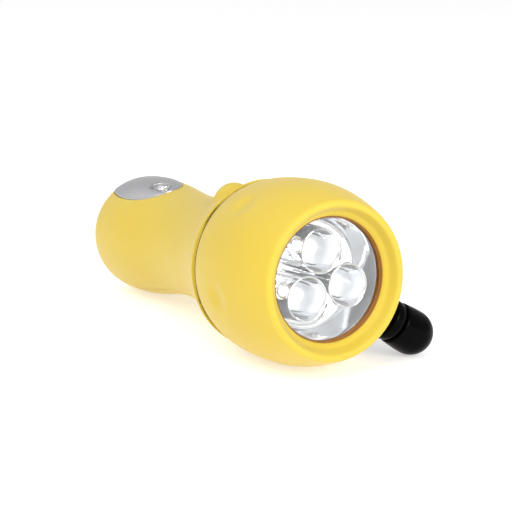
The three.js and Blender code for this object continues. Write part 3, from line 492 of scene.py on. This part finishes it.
def with_bump(station, radius, angle):
    """The handle's radius raised to the bump's ellipsoid, with a fillet round its foot.

    The ellipsoid's radius is the larger root of a r^2 - 2 b r + left_over = 0. Round it, a
    skirt that falls away with distance lets the fillet fade out.
    """
    along = (station - bump_station) / bump_half[0]
    c, s = np.cos(angle), np.sin(angle)
    a = (c / bump_half[1]) ** 2 + (s / bump_half[2]) ** 2
    b = s * bump_middle / bump_half[2] ** 2
    left_over = (bump_middle / bump_half[2]) ** 2 + along**2 - 1
    inside = b**2 - a * left_over
    reach = np.where(inside > 0, (b + np.sqrt(np.clip(inside, 0, None))) / a, 0)
    across = radius * c / bump_half[1]
    skirt = bump_middle + skirt_rise + skirt_fall * (1 - np.sqrt(along**2 + across**2))
    on_top = s > bump_sector
    ellipsoid = np.where((inside > 0) & on_top, reach, np.where(on_top, skirt, 0))
    raised = -softly_less(-radius, -ellipsoid, bump_fillet)
    near = (station > collar_station + 0.1) & (station < bump_rear) & on_top
    return np.where(near, np.maximum(radius, raised), radius)


def round_angles(half=0.42, across_bump=90, elsewhere=220):
    """Angles round the handle, close together across the bump on top."""
    fine = np.linspace(-half, half, across_bump, endpoint=False) + np.pi / 2
    coarse = np.linspace(half, 2 * np.pi - half, elsewhere, endpoint=False) + np.pi / 2
    return np.concatenate([fine, coarse])


collar_round = np.array([(0.04, 0.30), (0.15, 0.13), (0.30, 0.04), (0.48, 0.0)])
handle_stations = np.concatenate([
    np.linspace(31.5, 51.5, 70), np.linspace(52.3, 108.0, 60),
    bulb_station + bulb_length * np.sin(np.linspace(0.03, 0.5 * np.pi, 44))])


def handle_solid(name, offset, front):
    """The handle's outer surface moved inwards by an offset, closed flat at the front.

    At each station and angle the radius is that of the waisted bulb, raised by the bump.
    """
    station = np.concatenate([[front, front], collar_station + collar_round[:, 0],
                              handle_stations])[:, None]
    angle = round_angles()[None, :]
    radius = handle_surface(station) + 0 * angle
    radius = with_bump(station, radius, angle)
    radius[2:6] -= collar_round[:, 1:]
    radius = np.maximum(radius - offset, 0)
    radius[1] = radius[2] - (collar_chamfer if offset == 0 else 0)
    radius[0] = 0
    radius[-1] = 0
    station = station - np.where(station > bulb_station, offset * (station - bulb_station)
                                 / bulb_length, 0)
    points = np.stack([-station + 0 * angle, radius * np.cos(angle), radius * np.sin(angle)], -1)
    return piece_from(name, points, grid_faces(*points.shape[:2]), torch_axes)


def merge_with(piece, how, *tools):
    """Joins, cuts or trims a closed piece by other closed pieces, which are used up."""
    for tool in tools:
        step = piece.modifiers.new("join", "BOOLEAN")
        step.operation = how
        step.solver = "MANIFOLD"
        step.object = tool
        done = bpy.data.meshes.new_from_object(
            piece.evaluated_get(bpy.context.evaluated_depsgraph_get()))
        piece.modifiers.clear()
        piece.data = done
        bpy.data.objects.remove(tool)
    if not piece.data.polygons:
        raise ValueError(piece.name + " came out empty")
    return piece


def upright(outline, sides, centre=(0.0, 0.0), closed=False):
    """Points and faces of an outline of [height, radius] turned about the z axis.

    Each point is (r cos a + cx, r sin a + cy, height). A closed outline makes a ring.
    """
    outline = np.asarray(outline, float)
    angle = np.linspace(0, 2 * np.pi, sides, endpoint=False)
    height, radius = outline[:, :1] + 0 * angle, outline[:, 1:] + 0 * angle
    points = np.stack([radius * np.cos(angle) + centre[0], radius * np.sin(angle) + centre[1],
                       height], -1)
    return points, grid_faces(len(outline), sides, rows_close=closed)


def bar(name, radius, low, high, centre, axes, sides=72):
    """A plain round tool for cutting, along z."""
    return piece_from(
        name, *upright([(low, 0), (low, radius), (high, radius), (high, 0)], sides, centre), axes)


def block(name, x_ends, y_ends, z_ends):
    """A box tool between its two ends along each of the drive's axes."""
    points = np.stack(np.meshgrid(x_ends, y_ends, z_ends, indexing="ij"), -1)
    faces = [(0, 1, 3, 2), (4, 6, 7, 5), (0, 4, 5, 1), (2, 3, 7, 6), (0, 2, 6, 4), (1, 5, 7, 3)]
    return piece_from(name, points, faces, drive_axes)


def half_space(name, side):
    """A block that fills one side of the parting plane."""
    z_ends = sorted((side * parting_gap / 2, side * far))
    return block(name, [behind_tail, far], [-far, far], z_ends)


def copy_of(node, name):
    """A merged copy of one of the frame's own pieces."""
    mesh = frame["nodes"][node].data.copy()
    work = bmesh.new()
    work.from_mesh(mesh)
    bmesh.ops.remove_doubles(work, verts=work.verts, dist=1e-7)
    work.to_mesh(mesh)
    work.free()
    mesh.materials.clear()
    piece = bpy.data.objects.new(name, mesh)
    bpy.context.scene.collection.objects.link(piece)
    return piece


plate_station = 104.0
plate_half = (18.3, 9.7)
plate_thickness = 1.1
plate_proud = 0.35
plate_gap = 0.3
pocket_foot = 4.0
pocket_reach = 5.0
button_station = 90.4
button_hole = 2.45


def plate_pocket():
    """A column with the plate's oval outline, less everything under the pocket's floor."""
    turn = np.linspace(0, 2 * np.pi, 240, endpoint=False)
    oval = np.stack([-plate_station + (plate_half[0] + plate_gap) * np.cos(turn),
                     (plate_half[1] + plate_gap) * np.sin(turn)], -1)
    rings = [np.column_stack([oval, np.full(len(oval), z)]) for z in (pocket_foot, tool_top)]
    points = np.vstack(rings)
    sides = grid_faces(2, len(oval)).tolist()
    faces = sides + [list(range(len(oval)))[::-1], list(range(len(oval), 2 * len(oval)))]
    column = piece_from("pocket", points, faces, torch_axes)
    under = handle_solid("under", plate_thickness - plate_proud + plate_gap,
                         collar_station - pocket_reach)
    return merge_with(column, "DIFFERENCE", under)


core_reach = 40.0
hollow_reach = 1.0
boss_outline = [(14.0, 0), (14.0, 12.6), (15.2, 11.7), (16.6, 10.8), (18.2, 10.1), (20.2, 9.65),
                (22.5, boss_radius), (boss_top - 0.9, boss_radius), (boss_top - 0.42, 9.4),
                (boss_top - 0.12, 9.12), (boss_top, 8.7), (boss_top, 0)]


def handle_half(name, node, side):
    """One half shell: the frame's own inside, joined to a smooth outer skin and cut to fit."""
    inside = merge_with(copy_of(node, name), "INTERSECT",
                        handle_solid("core", core_depth, collar_station - core_reach))
    skin = handle_solid("skin", 0.0, collar_station)
    merge_with(skin, "DIFFERENCE",
               handle_solid("hollow", skin_depth, collar_station - hollow_reach))
    if side > 0:
        boss = piece_from("boss", *upright(boss_outline, 160, (-crank_station, 0.0)), drive_axes)
        merge_with(skin, "UNION", boss)
    merge_with(skin, "INTERSECT", half_space("half", side))
    merge_with(inside, "UNION", skin)
    if side < 0:
        merge_with(inside, "DIFFERENCE", plate_pocket(),
                   bar("hole", button_hole, pocket_foot, tool_top, (-button_station, 0.0),
                       torch_axes))
    else:
        merge_with(inside, "DIFFERENCE",
                   bar("bore", shaft_bore, bore_foot, tool_top, (-crank_station, 0.0),
                       drive_axes))
        for station, aside in screw_places:
            merge_with(inside, "DIFFERENCE",
                       bar("well", well_radius, well_floor, tool_top, (-station, aside),
                           drive_axes))
    crisp(inside.data)
    fit(inside, soft_yellow, "torch_body", "yellow_plastic", node)
    return inside


handle_half("grip_moulding", "grip_shell", -1)
handle_half("crank_side_moulding", "crank_side_shell", 1)

# ---------------------------------------------------------------- lens and its gasket
# The lens is a flat disc of clear acrylic with a polished edge. A rubber gasket wraps that edge,
# and its front lip shows as a fine line round the lens.
# Gasket and lip are coloured rust-brown as painted shade: the dark orange of the crevice between
# lens and lip, where yellow light bounces.

lens_outline = [(0.0, 0), (0.0, 8), (0.0, 16.9), (0.06, 17.3), (0.3, 17.6), (1.1, 17.6),
                (1.34, 17.3), (1.4, 16.9), (1.4, 8), (1.4, 0)]
lens = piece_from("lens_disc", *turned(lens_outline, 240), head_axes)
clear = finish_of(
    "clear_acrylic", (0.99, 0.99, 0.985), (0.975, 0.985, 0.98), (0.0, 0.03),
    grain=(300.0, 0.002), specks=0.0, Transmission_Weight=1.0, IOR=1.49)
clear_nodes, clear_links = clear.node_tree.nodes, clear.node_tree.links
clear_mix = clear_nodes.new("ShaderNodeMixShader")
clear_pass = clear_nodes.new("ShaderNodeBsdfTransparent")
clear_path = clear_nodes.new("ShaderNodeLightPath")
clear_links.new(clear_path.outputs["Is Shadow Ray"], clear_mix.inputs["Fac"])
clear_links.new(clear_nodes["Principled BSDF"].outputs[0], clear_mix.inputs[1])
clear_links.new(clear_pass.outputs[0], clear_mix.inputs[2])
clear_links.new(clear_mix.outputs[0], clear_nodes["Material Output"].inputs["Surface"])
fit(lens, clear, "torch_body", "clear_lens", "lens")

gasket_and_shade_lip_outline = [(1.7, 16.45), (1.78, 16.34), (1.9, 16.3), (2.6, 16.3), (2.72, 16.34),
                  (2.8, 16.45), (2.8, 17.86), (-0.27, 17.86), (-0.27, 16.52), (-0.6, 16.53),
                  (-0.95, 16.56), (-1.02, 16.5), (-1.0, 16.42), (-0.9, 16.38), (-0.45, 16.2),
                  (-0.03, 16.05), (-0.03, 17.66), (1.7, 17.66)]
lens_gasket = piece_from("lens_gasket_shade_ring", *turned(gasket_and_shade_lip_outline, 200, closed=True), head_axes)
# Rust-brown base colour: painted shade of the crevice round the lens, dark orange from yellow light
# bouncing in it.
crevice_shade_brown = finish_of(
    "gasket_painted_crevice_shade", (0.32, 0.125, 0.010), (0.25, 0.095, 0.008), (0.35, 0.5),
    grain=(4000.0, 0.02), specks=0.4)
fit(lens_gasket, crevice_shade_brown, "torch_body", "black_rubber", "lens_gasket")

# ---------------------------------------------------------------- reflector
# One plastic moulding under a bright metal coating: a pan whose rim lies close behind the lens,
# three deep cups for the lamps, and two round pegs near the pan's edge. Three posts behind it
# take the screws of the lamps' board.

flange_front = 3.1
flange_rear = 4.5
flange_radius = 21.2
pan_floor = 10.5
skin_wall = 1.1
cup_radius = 6.1
cup_circle = 7.4
cup_front = 1.7
led_hole = 2.9
cup_angles = np.radians([90.0, 210.0, 330.0])
peg_radius = 2.3
peg_circle = 12.8
peg_front = 1.9
peg_angles = np.radians([122.0, 178.0])
post_angles = np.radians([30.0, 150.0, 270.0])
post_circle = cup_circle + 2.1

pan_outline = [
    (cup_front + 0.05, 16.0), (cup_front + 0.05, 16.2), (flange_front, 16.2),
    (flange_front, flange_radius), (flange_rear, flange_radius), (flange_rear, 16.9),
    (pan_floor + skin_wall, 15.9), (pan_floor + skin_wall, 0), (pan_floor, 0), (pan_floor, 7.0),
    (pan_floor, 12.6), (10.42, 13.3), (10.2, 13.9), (9.8, 14.3), (9.2, 14.52), (7.0, 14.95),
    (4.6, 15.5), (3.4, 15.75), (1.9, 15.93)]
reflector = piece_from(
    "reflector_moulding", *turned(pan_outline, 240, closed=True), head_axes, sharp=50)


def at_circle(angle, radius):
    """The centre of a round feature on a circle about the torch's axis."""
    return radius * np.cos(angle), radius * np.sin(angle)


depth = np.linspace(0, 1, 26)[1:]
cup_wall = np.column_stack([cup_front + 0.65 + depth * (pan_floor - cup_front - 0.65),
                            led_hole + 2.45 * np.sqrt(1 - depth)])
cup_rim = [(cup_front + rise, radius) for rise, radius in [
    (0.12, 5.98), (0.02, 5.9), (0.0, 5.82), (0.05, 5.72), (0.2, 5.66), (0.45, 5.6), (0.55, 5.5),
    (0.65, 5.38)]]
cup_body = [(pan_floor + 0.4, 0), (pan_floor + 0.4, cup_radius), (9.0, cup_radius),
            (cup_front + 0.4, 6.06), *cup_rim[:3], (cup_front, 0)]
for angle in cup_angles:
    centre = at_circle(angle, cup_circle)
    merge_with(reflector, "UNION",
               piece_from("cup", *turned(cup_body[::-1], 120, centre), head_axes))
    bowl = np.vstack([[(0.5, 0), (0.5, 5.82), (cup_front, 5.82)], cup_rim[3:], cup_wall,
                      [(pan_floor + 3, led_hole), (pan_floor + 3, 0)]])
    merge_with(reflector, "DIFFERENCE", piece_from("bowl", *turned(bowl, 120, centre), head_axes))
for angle in peg_angles:
    centre = at_circle(angle, peg_circle)
    peg = [(peg_front, 0), (peg_front, 1.25), (peg_front + 0.08, 1.5), (peg_front + 0.3, 1.66),
           (peg_front + 0.6, peg_radius), (pan_floor + 0.4, peg_radius), (pan_floor + 0.4, 0)]
    merge_with(reflector, "UNION", piece_from("peg", *turned(peg, 48, centre), head_axes))
for angle in post_angles:
    centre = at_circle(angle, post_circle)
    post = [(pan_floor + 0.5, 0), (pan_floor + 0.5, 2.0), (14.8, 2.0), (14.8, 1.1), (12.1, 1.1),
            (12.1, 0)]
    merge_with(reflector, "UNION", piece_from("post", *turned(post, 32, centre), head_axes))
crisp(reflector.data)
chrome = finish_of(
    "chrome_coating", (0.95, 0.955, 0.965), (0.84, 0.85, 0.87), (0.03, 0.08),
    grain=(420.0, 0.05), cloud=120.0, specks=0.0, Metallic=0.90)
fit(reflector, chrome, "torch_body", "chrome_plating", "reflector")

# ---------------------------------------------------------------- lamps
# Three 5 mm LEDs, each a bullet moulded in clear epoxy with a flange at its foot. They stand on
# the board behind the reflector, and each comes through the hole at the bottom of its cup.

led_rear = 14.8
led_height = 6.1
led_radius = 2.5
led_turn = np.linspace(0, np.pi / 2, 16)
led_dome = led_rear - led_height
led_outline = np.vstack([
    [(led_rear, 0), (led_rear, 2.8), (led_rear - 0.9, 2.8), (led_rear - 1.0, 2.7),
     (led_rear - 1.0, led_radius)],
    np.column_stack([led_dome - led_radius * np.sin(led_turn), led_radius * np.cos(led_turn)])])
# The faint white emission is a painted glow that lightens the domes in their cups.
epoxy = finish_of(
    "lamp_epoxy", (0.97, 0.98, 1.0), (0.93, 0.95, 0.98), (0.03, 0.09),
    grain=(500.0, 0.01), specks=0.0, Transmission_Weight=0.35, IOR=1.5,
    Emission_Color=(1.0, 0.99, 0.97, 1), Emission_Strength=0.08)
for number, angle in enumerate(cup_angles, 1):
    led = piece_from(f"led_{number}_lamp",
                     *turned(led_outline, 72, at_circle(angle, cup_circle)), head_axes)
    fit(led, epoxy, "torch_body", "led_epoxy", f"led_{number}")

# ---------------------------------------------------------------- switch plate
# A long oval plate, pressed from aluminium and satin silver, that follows the handle's curve.
# It is let into a pocket, held by two pegs, and has a dished thumb rest round the button.

peg_stations = (108.0, 116.0)
plate_peg = 1.2
plate_peg_root = 0.55
plate_peg_length = 2.6
dish_half = (5.2, 3.7, 1.2)
dish_behind = 1.6
dish_over = 0.6
share = np.concatenate([np.linspace(0, 0.965, 34), [0.98, 0.990, 0.997, 1.0]])
edge_drop = np.concatenate([np.zeros(34), [0.02, 0.07, 0.16, 0.32]])
plate_turn = np.linspace(0, 2 * np.pi, 260, endpoint=False)
along = -plate_station + plate_half[0] * share[:, None] * np.cos(plate_turn)
across = plate_half[1] * share[:, None] * np.sin(plate_turn)


def over_handle(x, y, offset):
    """Height over the torch's axis of the handle's surface moved outwards by an offset."""
    return np.sqrt(np.clip((handle_surface(-x) + offset) ** 2 - y**2, 0, None))


plate_top = over_handle(along, across, plate_proud) - edge_drop[:, None]
plate_under = over_handle(along, across, plate_proud - plate_thickness)
plate_points = np.concatenate([
    np.stack([along, across, plate_top], -1),
    np.stack([along, across, plate_under], -1)[::-1]])
top_plate = piece_from("switch_plate", plate_points, grid_faces(*plate_points.shape[:2]),
                       torch_axes)
for station in peg_stations:
    top = float(over_handle(np.array(-station), np.array(0.0), plate_proud - plate_peg_root))
    merge_with(top_plate, "UNION",
               bar("peg", plate_peg, top - plate_peg_length, top, (-station, 0.0), torch_axes, 48))
plate_high = float(over_handle(np.array(-button_station), np.array(0.0), plate_proud))
ball_turn = np.linspace(-np.pi / 2, np.pi / 2, 48)
dish_points, dish_faces = upright(
    np.column_stack([np.sin(ball_turn), np.cos(ball_turn)]), 96)
dish_middle = (-(button_station + dish_behind), 0, plate_high + dish_over)
merge_with(
    top_plate, "DIFFERENCE",
    piece_from("dish", dish_points * dish_half + dish_middle, dish_faces, torch_axes),
    bar("hole", button_hole, pocket_foot, tool_top, (-button_station, 0.0), torch_axes))
crisp(top_plate.data, 28.0)
satin_silver = finish_of(
    "satin_silver", (0.50, 0.50, 0.51), (0.46, 0.46, 0.47), (0.26, 0.36),
    grain=(1600.0, 0.006), cloud=60.0, specks=0.1, stretch=(0.12, 1.0, 1.0), Metallic=0.85)
fit(top_plate, satin_silver, "torch_body", "silver_plate", "top_plate")

# ---------------------------------------------------------------- push button
# A bright chromed dome that stands just over the plate, in the front half of the thumb dish.
# Its flange below the shell stops it falling out, and the plunger of the switch is under it.

button_radius = 2.3
button_flange = 3.2
button_rise = 1.2
flange_thickness = 1.2
node_points = np.array([v.co for v in frame["nodes"]["push_button"].data.vertices])
button_foot = float((((node_points - lens_centre) @ plate_up) / MM).min())
flange_top = button_foot + flange_thickness
dome_turn = np.linspace(0.12, np.pi / 2, 20)
dome_foot = plate_high + 0.25
button_outline = np.vstack([
    [(button_foot, 0), (button_foot, button_flange), (flange_top, button_flange),
     (flange_top, button_radius), (dome_foot - 0.1, button_radius)],
    np.column_stack([dome_foot + (plate_high + button_rise - dome_foot) * np.sin(dome_turn),
                     button_radius * np.cos(dome_turn)])])
push_button = piece_from(
    "push_button_dome", *upright(button_outline, 96, (-button_station, 0.0)), torch_axes)
button_chrome = finish_of(
    "button_chrome", (0.66, 0.66, 0.67), (0.61, 0.61, 0.63), (0.08, 0.16),
    grain=(700.0, 0.01), specks=0.1, Metallic=1.0)
fit(push_button, button_chrome, "button", "chrome_plating", "push_button")

# ---------------------------------------------------------------- crank arm
# A flat arm moulded in glossy black, with a raised hub over the shaft. A screw in the hub's
# counterbore holds it on the shaft's hexagon, and its free end carries the knob's pin.

crank_length = 45.5
arm_low = 26.3
arm_high = 29.7
hub_radius = 9.0
arm_end = 5.9
hexagon_reach = 2.65
hexagon_top = 29.2
screw_hole = 1.8
screw_hole_foot = 28.9
counterbore = 3.8
pin_hole = 2.1
pin_seat = 3.6
crank_pin = (-crank_station + crank_length, 0.0)


def strap_outline(shrink, sides=64):
    """The line round two circles and their common tangents, drawn in by a distance."""
    first, last = hub_radius - shrink, arm_end - shrink
    lean = np.arcsin((first - last) / crank_length)
    near = np.linspace(-np.pi / 2 + lean, np.pi / 2 - lean, sides)
    back = np.linspace(np.pi / 2 - lean, 1.5 * np.pi + lean, sides)
    front = np.column_stack([crank_pin[0] + last * np.cos(near), last * np.sin(near)])
    rear = np.column_stack([-crank_station + first * np.cos(back), first * np.sin(back)])
    return np.vstack([front, rear])


arm_rounds = [(arm_low, 0.5), (arm_low + 0.12, 0.18), (arm_low + 0.4, 0.0),
              (arm_high - 0.9, 0.0), (arm_high - 0.5, 0.1), (arm_high - 0.2, 0.33),
              (arm_high - 0.05, 0.65), (arm_high, 1.05)]
arm_rings = [strap_outline(shrink) for _, shrink in arm_rounds]
ring_size = len(arm_rings[0])
arm_points = np.vstack([np.column_stack([ring, np.full(ring_size, height)])
                        for ring, (height, _) in zip(arm_rings, arm_rounds)])
arm_faces = grid_faces(len(arm_rings), ring_size).tolist()
arm_faces += [list(range(ring_size))[::-1],
              list(range(len(arm_points) - ring_size, len(arm_points)))]
crank_arm = piece_from("crank_arm_moulding", arm_points, arm_faces, drive_axes)
hub = [(arm_high - 0.5, 0), (arm_high - 0.5, 8.6), (arm_high, 8.35), (arm_high + 0.35, 8.1),
       (arm_high + 1.4, 7.95), (arm_high + 1.75, 7.8), (arm_high + 1.95, 7.5),
       (arm_high + 2.0, 7.1), (arm_high + 2.0, 0)]
merge_with(crank_arm, "UNION",
           piece_from("hub", *upright(hub, 120, (-crank_station, 0.0)), drive_axes))
merge_with(
    crank_arm, "DIFFERENCE",
    bar("socket", hexagon_reach, arm_low - 1, hexagon_top, (-crank_station, 0.0), drive_axes, 6),
    bar("through", screw_hole, screw_hole_foot, tool_top, (-crank_station, 0.0), drive_axes),
    bar("counterbore", counterbore, arm_high + 0.2, tool_top, (-crank_station, 0.0), drive_axes,
        96),
    bar("pin_hole", pin_hole, arm_low - 1, tool_top, crank_pin, drive_axes),
    bar("pin_seat", pin_seat, arm_low - 1, arm_low + 1.2, crank_pin, drive_axes))
crisp(crank_arm.data)
gloss_black = finish_of(
    "gloss_black", (0.0008, 0.0008, 0.0009), (0.0018, 0.0018, 0.002), (0.10, 0.19),
    grain=(260.0, 0.02), cloud=70.0, specks=0.3, Specular_IOR_Level=0.04)
fit(crank_arm, gloss_black, "crank", "gloss_black", "crank_arm")

# ---------------------------------------------------------------- crank knob
# A round-ended finger knob in the same glossy black. It turns freely on a steel pin that is
# riveted through the end of the arm.

knob_low = 30.1
knob_radius = 6.5
knob_ball = 37.0
knob_waist = 6.1
knob_bore = 2.08
pin_top = 40.5
knob_rise = np.linspace(0.04, 1, 14)
ball = np.linspace(0.06, np.pi / 2, 22)
knob_outline = np.vstack([
    [(knob_low, knob_bore), (knob_low, 5.5), (knob_low + 0.06, 5.72), (knob_low + 0.2, 5.94),
     (knob_low + 0.4, 6.06)],
    np.column_stack([knob_low + 0.4 + knob_rise * (knob_ball - knob_low - 0.4),
                     knob_waist + (knob_radius - knob_waist) * np.sin(knob_rise * np.pi / 2)]),
    np.column_stack([knob_ball + knob_radius * np.sin(ball), knob_radius * np.cos(ball)]),
    [(pin_top + 0.3, 0), (pin_top + 0.3, knob_bore)]])
crank_knob = piece_from(
    "crank_knob_moulding", *upright(knob_outline, 120, crank_pin, closed=True), drive_axes)
fit(crank_knob, gloss_black, "knob", "gloss_black", "crank_knob")

# ---------------------------------------------------------------- screws and pin that show
# Bright zinc-plated steel: the crank's pan-head screw, three shell screws at the foot of their
# wells, and the knob's pin with its flat head under the arm.

steel = finish_of(
    "plated_steel", (0.56, 0.57, 0.58), (0.42, 0.43, 0.45), (0.2, 0.4),
    grain=(1800.0, 0.01), specks=0.3, Metallic=1.0)
slot_clear = 6.0


def cross_cut(piece, centre, reach, half, low):
    """Cuts a cross recess into a screw's head from a height upwards."""
    x, y = centre
    for wide, deep in ((reach, half), (half, reach)):
        merge_with(piece, "DIFFERENCE", block(
            "slot", [x - wide, x + wide], [y - deep, y + deep], [low, low + slot_clear]))
    crisp(piece.data, 32.0)


seat = arm_high + 0.4
crank_screw = piece_from(
    "crank_screw_pan_head",
    *upright([(22.9, 0), (22.9, 1.3), (seat, 1.3), (seat, 3.35), (seat + 0.1, 3.4),
              (seat + 0.5, 3.36), (seat + 0.9, 3.1), (seat + 1.2, 2.7), (seat + 1.42, 1.9),
              (seat + 1.5, 0.9), (seat + 1.5, 0)], 72, (-crank_station, 0.0)), drive_axes)
cross_cut(crank_screw, (-crank_station, 0.0), 2.1, 0.36, seat + 0.75)
fit(crank_screw, steel, "crank", "steel", "crank_screw")

screw_top = well_floor + 0.3
for number, (station, aside) in enumerate(screw_places, 1):
    centre = (-station, aside)
    screw = piece_from(
        f"shell_screw_{number}_pan_head",
        *upright([(-8.0, 0), (-7.6, 0.8), (-7.0, 1.2), (screw_top, 1.2), (screw_top, 2.25),
                  (screw_top + 0.1, 2.3), (screw_top + 1.0, 2.24), (screw_top + 1.4, 1.9),
                  (screw_top + 1.6, 1.3), (screw_top + 1.6, 0)], 60, centre), drive_axes)
    cross_cut(screw, centre, 1.38, 0.33, screw_top + 0.8)
    fit(screw, steel, "torch_body", "steel", f"shell_screw_{number}")

knob_pin = piece_from(
    "knob_pin_rivet",
    *upright([(arm_low + 0.1, 0), (arm_low + 0.1, 3.1), (arm_low + 0.2, 3.3),
              (arm_low + 0.4, 3.4), (arm_low + 1.0, 3.4), (arm_low + 1.0, 2.0), (pin_top, 2.0),
              (pin_top, 0)], 72, crank_pin), drive_axes)
fit(knob_pin, steel, "crank", "steel", "knob_pin")

# ---------------------------------------------------------------- works inside the shells
# What the shells hide keeps the frame's own shapes: gears moulded in acetal, a brass pinion and
# bush, a small generator, three button cells in a cradle, boards and their leads.

acetal = finish_of("white_acetal", (0.80, 0.80, 0.77), (0.74, 0.74, 0.70), (0.35, 0.5),
                   grain=(1500.0, 0.02), Subsurface_Weight=0.05)
brass = finish_of("machined_brass", (0.72, 0.50, 0.20), (0.58, 0.38, 0.14), (0.22, 0.38),
                  grain=(2500.0, 0.01), Metallic=1.0)
black_moulding = finish_of("black_moulding", (0.02, 0.02, 0.021), (0.03, 0.03, 0.032),
                           (0.4, 0.6), grain=(2200.0, 0.03))
board_green = finish_of("board_green", (0.03, 0.14, 0.05), (0.05, 0.2, 0.07), (0.3, 0.45),
                        grain=(3500.0, 0.02), cloud=260.0)
copper = finish_of("wound_copper", (0.50, 0.19, 0.08), (0.36, 0.12, 0.05), (0.25, 0.4),
                   grain=(6000.0, 0.05), Metallic=0.9)
cell_sleeve = finish_of("cell_sleeve", (0.05, 0.16, 0.42), (0.04, 0.12, 0.34), (0.25, 0.4),
                        grain=(900.0, 0.02))
red_lead = finish_of("red_lead", (0.42, 0.02, 0.015), (0.32, 0.015, 0.01), (0.35, 0.5),
                     grain=(3000.0, 0.02))
black_lead = finish_of("black_lead", (0.015, 0.015, 0.017), (0.03, 0.03, 0.03), (0.35, 0.5),
                       grain=(3000.0, 0.02))
inside_looks = {
    "crank_gear": acetal, "idler_gear": acetal, "rotor_pinion": brass, "crank_bush": brass,
    "shaft_seal": black_rubber, "gear_plate": black_moulding, "generator_cap": black_moulding,
    "battery_cradle": black_moulding, "switch_plunger": black_moulding,
    "push_switch": black_moulding, "rectifier": black_moulding, "generator_can": steel,
    "generator_coil": copper, "control_board": board_green, "led_board": board_green,
    "battery_cell": cell_sleeve, "capacitor": satin_silver, "led_lead_1": red_lead,
    "led_lead_2": black_lead, "battery_lead_1": red_lead, "battery_lead_2": black_lead,
    "generator_lead_1": red_lead, "generator_lead_2": black_lead, "gear_plate_screw": steel,
    "board_screw": steel, "led_board_screw": steel, "crank_shaft": steel, "idler_axle": steel,
    "rotor_shaft": steel, "rotor_magnet": steel,
}
for node, piece in frame["nodes"].items():
    if piece.hide_render:
        continue
    kind = max((k for k in inside_looks if node.startswith(k)), key=len)
    piece.data.materials.clear()
    piece.data.materials.append(inside_looks[kind])

# ---------------------------------------------------------------- update
# The view layer is brought up to date.

bpy.context.view_layer.update()
